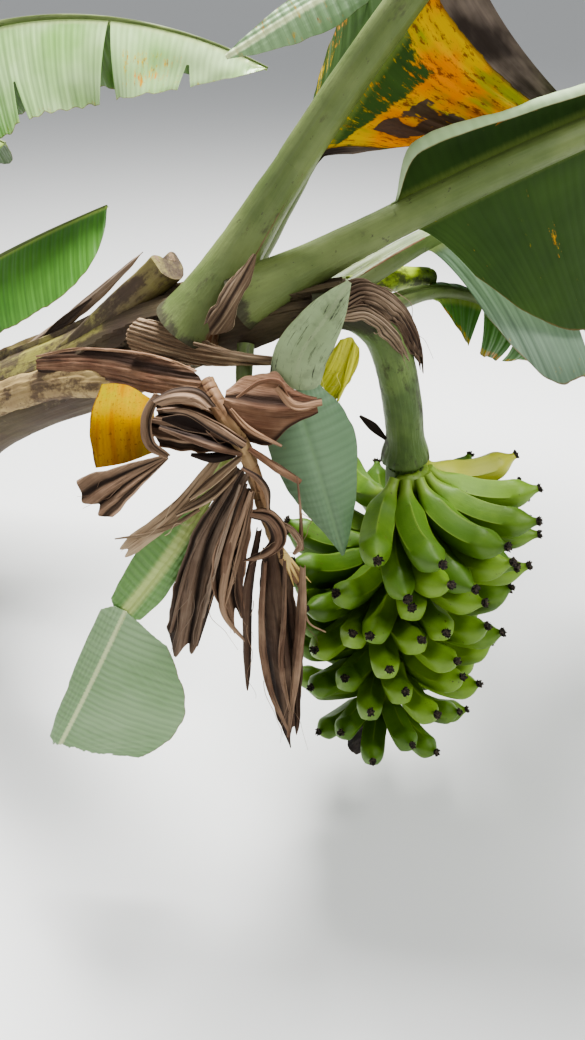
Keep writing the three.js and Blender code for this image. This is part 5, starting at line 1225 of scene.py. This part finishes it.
ribbons = {
    "high_leaf_lobe": dict(paint="paleLeaf", slot="leaf_green", strips=[tornLeaf(
        [(1348, -836, 1588), (1271, -856, 1552), (1170, -876, 1500)], toFront, [34, 40, 34, 22, 3],
        [14, 22, 22, 14, 3], cup=10, yellow=0.30, under=1.0, rag=0.05, pleat=0.4)]),
    "bunch_scales": dict(paint="scaleSkin", threads=2, strips=[
        tornLeaf([(1320, -988, 1202), (1362, -976, 1219), (1420, -952, 1180), (1458, -934, 1110), (1470, -926, 1060)],
                 [(0.2, -0.5, 0.8), (1, -0.3, 0.2)], [26, 36, 34, 22, 5], [30, 42, 42, 26, 6], cup=34, pleat=1.2,
                 rag=0.13, folds=9, foldDepth=3, crumple=5, columns=90, rows=150, thick=1.0,
                 ends=(0.8, 0.95, 0.84, 1.0, 0.86, 0.96, 0.80), starts=(0.1, 0.0, 0.06)),
        tornLeaf([(1328, -1002, 1184), (1366, -1000, 1188), (1408, -982, 1150), (1440, -962, 1096)],
                 [(0.1, -0.8, 0.6), (0.7, -0.8, 0.2)], [14, 24, 22, 6], cup=40, turn=0.35, folds=6, foldDepth=3,
                 crumple=5, rag=0.2, columns=60, ends=(0.8, 1.0, 0.86, 0.96), dark=0.2),
        # A dark sliver of painted shade in the gap above the first hand
        tornLeaf([(1372, -924, 983), (1393, -928, 966), (1418, -926, 940)], toFront, [2, 9, 3], cup=30, dark=0.9,
                 crumple=2)]),
    # The flag leaf in front of the throat
    "flag_sheath": dict(paint="scratchedLeaf", slot="leaf_pale", strips=[tornLeaf(
        [(1340, -1010, 1238), (1304, -1022, 1185), (1273, -1030, 1140), (1262, -1040, 1088)], toFront,
        [3, 26, 40, 46, 42], [4, 30, 42, 46, 44], cup=26, rag=0.02, ends=(0.97, 1.0, 0.96))]),
    "flag_blade": dict(paint="flagLeaf", slot="leaf_pale", strips=[tornLeaf(
        [(1262, -1041, 1086), (1283, -1055, 1020), (1308, -1060, 930), (1345, -1051, 787)], toFront,
        [40, 68, 76, 66, 52, 30, 2], [34, 62, 70, 62, 44, 20, 2], cup=18, pleat=0.35, rag=0.02, rib=2,
        rows=160, columns=44, yellow=0.12)]),
    "flag_strip": dict(paint="lemonLeaf", slot="leaf_yellow", threads=4, strips=[
        tornLeaf([(1348, -990, 1148), (1332, -990, 1098), (1306, -990, 1052)], toFront, [12, 26, 27, 22], crumple=3,
                 rag=0.08, starts=(0.12, 0.0, 0.08), ends=(0.94, 1.0, 0.88, 0.98), pleat=0.5),
        tornLeaf([(1352, -994, 1140), (1344, -996, 1094), (1330, -996, 1046)], toFront, [3, 8, 7, 2], cup=50,
                 crumple=3)]),
    # The small leaf under the crown
    "low_leaf_top": dict(paint="youngLeaf", slot="leaf_pale", strips=[tornLeaf(
        [(1165, -1026, 968), (1112, -1056, 883), (1040, -1076, 777), (966, -1086, 680)], toFront,
        [4, 8, 16, 30, 36, 26], [6, 22, 40, 50, 46, 34], cup=12, crumple=2, pleat=0.7, rag=0.02, rib=3,
        rows=150, columns=36, ends=(0.95, 1.0, 0.96))]),
    "low_leaf_end": dict(paint="paleLeaf", slot="leaf_pale", strips=[tornLeaf(
        [(975, -1086, 694), (889, -1101, 519), (812, -1106, 366)], toFront, [54, 128, 172, 184, 162, 94],
        [40, 42, 40, 36, 34, 24], cup=8, crumple=2.5, pleat=0.6, rag=0.02, rib=3, rows=160, columns=60,
        ends=(0.86, 0.96, 1.0, 0.97), fray=0.03, starts=(0.10, 0.03, 0.0, 0.0, 0.06))]),
    # The old leaf, withered and torn into folds that hang from its broken rib
    "dead_leaf_yellow": dict(paint="yellowLeaf", slot="leaf_yellow", strips=[tornLeaf(
        [(1003, -975, 1066), (1000, -1030, 1030), (1000, -1058, 962)], toFront, [42, 50, 40], [44, 54, 46],
        starts=(0.16, 0.03, 0.0), ends=(0.84, 0.94, 1.0), cup=10, crumple=3, rag=0.02)]),
    "dead_leaf_crumple": dict(paint="dryBrown", threads=3, strips=[
        tornLeaf([(1044, -1058, 1050), (1092, -1066, 1046), (1140, -1074, 1036), (1188, -1086, 1016)],
                 [(-0.1, -1, 0.4)], [20, 38, 38, 26, 8], [42, 58, 54, 38, 16], cup=16, turn=0.25, folds=4,
                 foldDepth=9, crumple=9, columns=70, rows=130, starts=(0.0, 0.10, 0.02, 0.12),
                 ends=(0.9, 1.0, 0.95), rag=0.09),
        tornLeaf([(1058, -1084, 1086), (1095, -1088, 1101), (1124, -1090, 1100), (1148, -1090, 1078)],
                 [(0, -0.8, 0.6)], [6, 13, 15, 8], cup=24, turn=0.45, folds=1, foldDepth=4, crumple=5,
                 starts=(0.0, 0.12), ends=(1.0, 0.85)),
        tornLeaf([(1075, -1092, 1080), (1109, -1096, 1080), (1147, -1098, 1058), (1190, -1094, 1024)],
                 [(0, -0.7, 0.7)], [3, 8, 14, 12], [3, 8, 12, 9], cup=44, turn=0.3, folds=2, foldDepth=3, crumple=4),
        # A dark sheet of painted shade in the hollow under the folds
        tornLeaf([(1072, -1088, 1064), (1103, -1090, 1060), (1140, -1092, 1044)], toFront, [3, 12, 3], cup=-20,
                 dark=1.0, crumple=2),
        tornLeaf([(1066, -1086, 1050), (1108, -1092, 1036), (1150, -1094, 1022), (1186, -1092, 1010)],
                 [(0, -1, 0.5)], [4, 8, 11, 8], cup=40, turn=0.1, folds=1, foldDepth=3, crumple=5),
        # Another dark sheet of painted shade under the folds
        tornLeaf([(1108, -1080, 1000), (1140, -1086, 998), (1176, -1088, 1004)], toFront, [3, 9, 4], cup=30,
                 dark=0.9, crumple=3),
        tornLeaf([(1066, -1074, 1096), (1046, -1076, 1056), (1050, -1080, 1018), (1074, -1080, 996)],
                 [(-0.3, -1, 0.3)], [5, 11, 13, 6], cup=30, turn=0.3, crumple=7, folds=1, foldDepth=3, rag=0.10)]),
    "dead_leaf_lobe": dict(paint="dryRed", strips=[
        tornLeaf([(1162, -1070, 1088), (1210, -1066, 1074), (1257, -1070, 1072), (1296, -1074, 1078)], toFront,
                 [12, 44, 50, 26, 12], [12, 50, 58, 28, 12], cup=12, crumple=11, folds=2, foldDepth=6, rag=0.10,
                 columns=60, rows=130),
        tornLeaf([(1238, -1086, 1114), (1262, -1092, 1088), (1302, -1090, 1092)], toFront, [9, 14, 11], cup=50,
                 turn=1.0, rag=0.14, crumple=6, folds=1, foldDepth=3),
        tornLeaf([(1180, -1084, 1096), (1216, -1084, 1120), (1240, -1086, 1122), (1254, -1088, 1098)], toFront,
                 [2, 6, 6, 3], cup=60, dark=0.35, crumple=6, rag=0.2),
        tornLeaf([(1172, -1092, 1082), (1196, -1094, 1052), (1244, -1090, 1020)], toFront, [3, 7, 3], cup=55,
                 turn=0.5, crumple=5),
        tornLeaf([(1196, -1094, 1018), (1232, -1100, 993), (1272, -1104, 966)], toFront, [9, 16, 10], cup=64,
                 crumple=5, rag=0.12, turn=0.1)]),
    "dead_leaf_left": dict(paint="dryBrown", threads=2, strips=[tornLeaf(
        [(1070, -1066, 988), (1003, -1074, 952), (938, -1080, 906)], toFront, [4, 16, 28, 40, 44],
        [4, 14, 24, 36, 44], cup=-8, folds=3, foldDepth=4, crumple=7, columns=60, turn=0.35,
        ends=(0.80, 0.92, 0.87, 1.0, 0.95, 0.90), rag=0.05)]),
    "dead_strip_1": dict(paint="dryTan", threads=2, strips=[
        tornLeaf([(1147, -1080, 992), (1086, -1092, 913), (986, -1096, 826)], [(0.2, -1, 0.3)], [7, 12, 15, 17],
                 cup=14, ends=(0.90, 1.0, 0.93, 0.98, 0.85), crumple=3),
        tornLeaf([(980, -1100, 858), (1037, -1102, 870), (1077, -1100, 887), (1116, -1098, 914)],
                 [(0.1, -1, 0.4), (0.1, -0.6, 0.9)], [1, 5, 7, 5], cup=60, dark=0.6, crumple=3),
        tornLeaf([(1080, -1102, 905), (1135, -1102, 940), (1180, -1096, 984)], toFront, [4, 11, 8], cup=40,
                 folds=1, foldDepth=3, crumple=3),
        tornLeaf([(1104, -1100, 934), (1140, -1100, 966), (1184, -1094, 1004)], toFront, [3, 9, 6], cup=-35,
                 folds=1, foldDepth=3, crumple=4, dark=0.3)]),
    "dead_strip_2": dict(paint="dryGrey", threads=5, strips=[
        tornLeaf([(1186, -1098, 980), (1124, -1102, 856), (1062, -1102, 604)], toFront, [12, 22, 32, 37, 33],
                 cup=20, folds=2, foldDepth=7, crumple=7, columns=60, rows=170,
                 ends=(0.88, 0.97, 0.92, 1.0, 0.95, 0.86), rag=0.06),
        tornLeaf([(1190, -1112, 968), (1152, -1118, 860), (1118, -1116, 730), (1096, -1114, 640)], toFront,
                 [6, 12, 15, 12, 3], cup=58, crumple=5, folds=1, foldDepth=3),
        tornLeaf([(1182, -1112, 967), (1140, -1124, 831), (1112, -1122, 712)], toFront, [2, 5, 5, 2], turn=1.0,
                 cup=40, crumple=3),
        tornLeaf([(1186, -1100, 985), (1106, -1102, 830), (1052, -1102, 660)], toFront, [5, 12, 14, 7], cup=50,
                 folds=1, foldDepth=4, dark=0.3, crumple=5)]),
    "dead_strip_3": dict(paint="dryBrown", threads=4, strips=[
        tornLeaf([(1194, -1110, 960), (1160, -1116, 810), (1170, -1112, 668)], toFront, [10, 24, 30, 26, 10],
                 cup=-22, folds=2, foldDepth=7, crumple=7, columns=50, rows=130, ends=(0.78, 0.88, 0.82, 0.96, 1.0),
                 rag=0.07),
        tornLeaf([(1198, -1122, 960), (1160, -1126, 838), (1146, -1124, 724), (1184, -1120, 650)], toFront,
                 [5, 11, 12, 3], cup=56, turn=0.4, crumple=5),
        tornLeaf([(1202, -1118, 958), (1178, -1124, 850), (1150, -1124, 742)], toFront, [3, 7, 6, 2], turn=0.9,
                 cup=50, crumple=4)]),
    "dead_strip_4": dict(paint="dryBrown", threads=6, strips=[
        tornLeaf([(1230, -1112, 846), (1243, -1114, 660), (1262, -1108, 366)], [(0.2, -1, 0.2)],
                 [18, 38, 44, 34, 10], cup=30, folds=2, foldDepth=10, crumple=7, columns=64, rows=190, dark=0.62,
                 ends=(0.80, 0.93, 0.86, 0.92, 1.0, 0.84), rag=0.06),
        tornLeaf([(1278, -1124, 820), (1278, -1122, 703), (1270, -1120, 577), (1252, -1118, 410)],
                 [(0.5, -1, 0.2)], [8, 15, 15, 10, 3], cup=58, turn=0.2, crumple=5),
        tornLeaf([(1216, -1126, 832), (1206, -1128, 700), (1216, -1124, 560), (1254, -1120, 420)],
                 [(-0.3, -1, 0.2)], [6, 12, 12, 9, 3], cup=58, turn=0.05, crumple=5),
        tornLeaf([(1248, -1130, 838), (1246, -1130, 720), (1240, -1126, 600), (1258, -1122, 470)], toFront,
                 [4, 8, 9, 3], cup=60, dark=0.4, crumple=5),
        tornLeaf([(1267, -1116, 984), (1272, -1118, 922), (1274, -1120, 851)], toFront, [1.2, 1.6, 3, 5], cup=30,
                 crumple=2),
        tornLeaf([(1275, -1121, 770), (1288, -1121, 700), (1316, -1121, 679)], toFront, [2, 2.4, 1.5, 0.8], cup=30,
                 turn=0.8)]),
    "dead_strip_5": dict(paint="dryBrown", threads=3, strips=[
        tornLeaf([(1208, -1120, 890), (1186, -1124, 760), (1180, -1120, 540)], [(-0.2, -1, 0.2)],
                 [8, 13, 15, 14, 5], cup=58, crumple=5, dark=0.62, rows=140, ends=(0.86, 1.0, 0.80), folds=1,
                 foldDepth=3),
        tornLeaf([(1196, -1124, 922), (1226, -1134, 918), (1240, -1138, 884), (1220, -1136, 856), (1184, -1134, 840)],
                 [(0, -1, 0.3), (0.2, -1, -0.2)], [10, 20, 20, 12, 2], cup=40, crumple=5, turn=0.0, folds=2,
                 foldDepth=4, rag=0.08),
        tornLeaf([(1237, -1122, 908), (1260, -1128, 893), (1272, -1128, 866), (1262, -1124, 845)], toFront,
                 [3, 9, 11, 5], cup=50, crumple=5, turn=0.6, rag=0.15),
        tornLeaf([(1186, -1118, 1000), (1208, -1122, 986), (1222, -1122, 962), (1224, -1124, 930)], toFront,
                 [4, 9, 9, 4], cup=50, crumple=5, turn=0.2, rag=0.1, folds=1, foldDepth=3)]),
    # Old sheaths that peel away from the stem
    "dry_sheath_thin": dict(paint="dryGrey", strips=[
        tornLeaf([(520, -440, 800), (639, -536, 893), (874, -696, 1089), (1015, -786, 1212)], [(-0.5, -0.6, 0.6)],
                 [34, 30, 24, 17, 5], cup=40, pleat=0.8, rows=180, turn=0.45, ends=(0.9, 1.0, 0.93), crumple=4),
        # A thin dark strip of painted shade on the sheath
        tornLeaf([(776, -650, 1004), (840, -690, 1058), (905, -730, 1114)], [(0.3, -0.9, 0.3)], [2, 10, 2], cup=-30,
                 dark=0.8)]),
    "dry_sheath_striped": dict(paint="stripedSheath", strips=[
        tornLeaf([(996, -900, 1118), (1117, -966, 1112), (1244, -994, 1108)], [(0, -1, 0.2)],
                 [32, 33, 24, 12, 5], cup=24, pleat=1.6, rag=0.05, columns=60, ends=(0.9, 1.0, 0.96),
                 starts=(0.05, 0.0, 0.02)),
        tornLeaf([(1110, -974, 1132), (1180, -996, 1122), (1262, -1004, 1118)], [(0, -1, 0.5)], [4, 8, 3], cup=50,
                 dark=0.5),
        # The worn seam between the two front stalks
        tornLeaf([(1206, -962, 1262), (1183, -978, 1226), (1162, -991, 1196), (1134, -990, 1157)], toFront,
                 [3, 16, 26, 30, 20], [3, 14, 20, 22, 12], cup=30, crumple=2, rag=0.2, dark=0.6, pleat=0.6,
                 ends=(0.9, 1.0, 0.92, 0.98), folds=2, foldDepth=1.5)]),
    "dry_sheath_low": dict(paint="dryRed", strips=[
        tornLeaf([(786, -734, 990), (886, -812, 1028), (955, -872, 1050), (1016, -932, 1066), (1072, -987, 1082),
                  (1126, -1034, 1096)], toFront, [12, 24, 30, 30, 28, 20], [16, 26, 30, 31, 30, 20], cup=9,
                 pleat=0.6, rag=0.05, rows=170, columns=50, turn=0.15, ends=(0.92, 1.0, 0.95), crumple=3.5, folds=1,
                 foldDepth=2),
        tornLeaf([(790, -740, 1008), (886, -818, 1056), (955, -878, 1081), (1060, -980, 1112), (1120, -1038, 1116)],
                 [(0, -0.9, 0.6)], [2, 4, 4, 2], cup=50, turn=0.5, dark=0.2, rag=0.15, crumple=4)]),
}
for k, (name, spec) in enumerate(ribbons.items()):
    growRibbon(name, seed=k + 2, **spec)
print("strips hung")
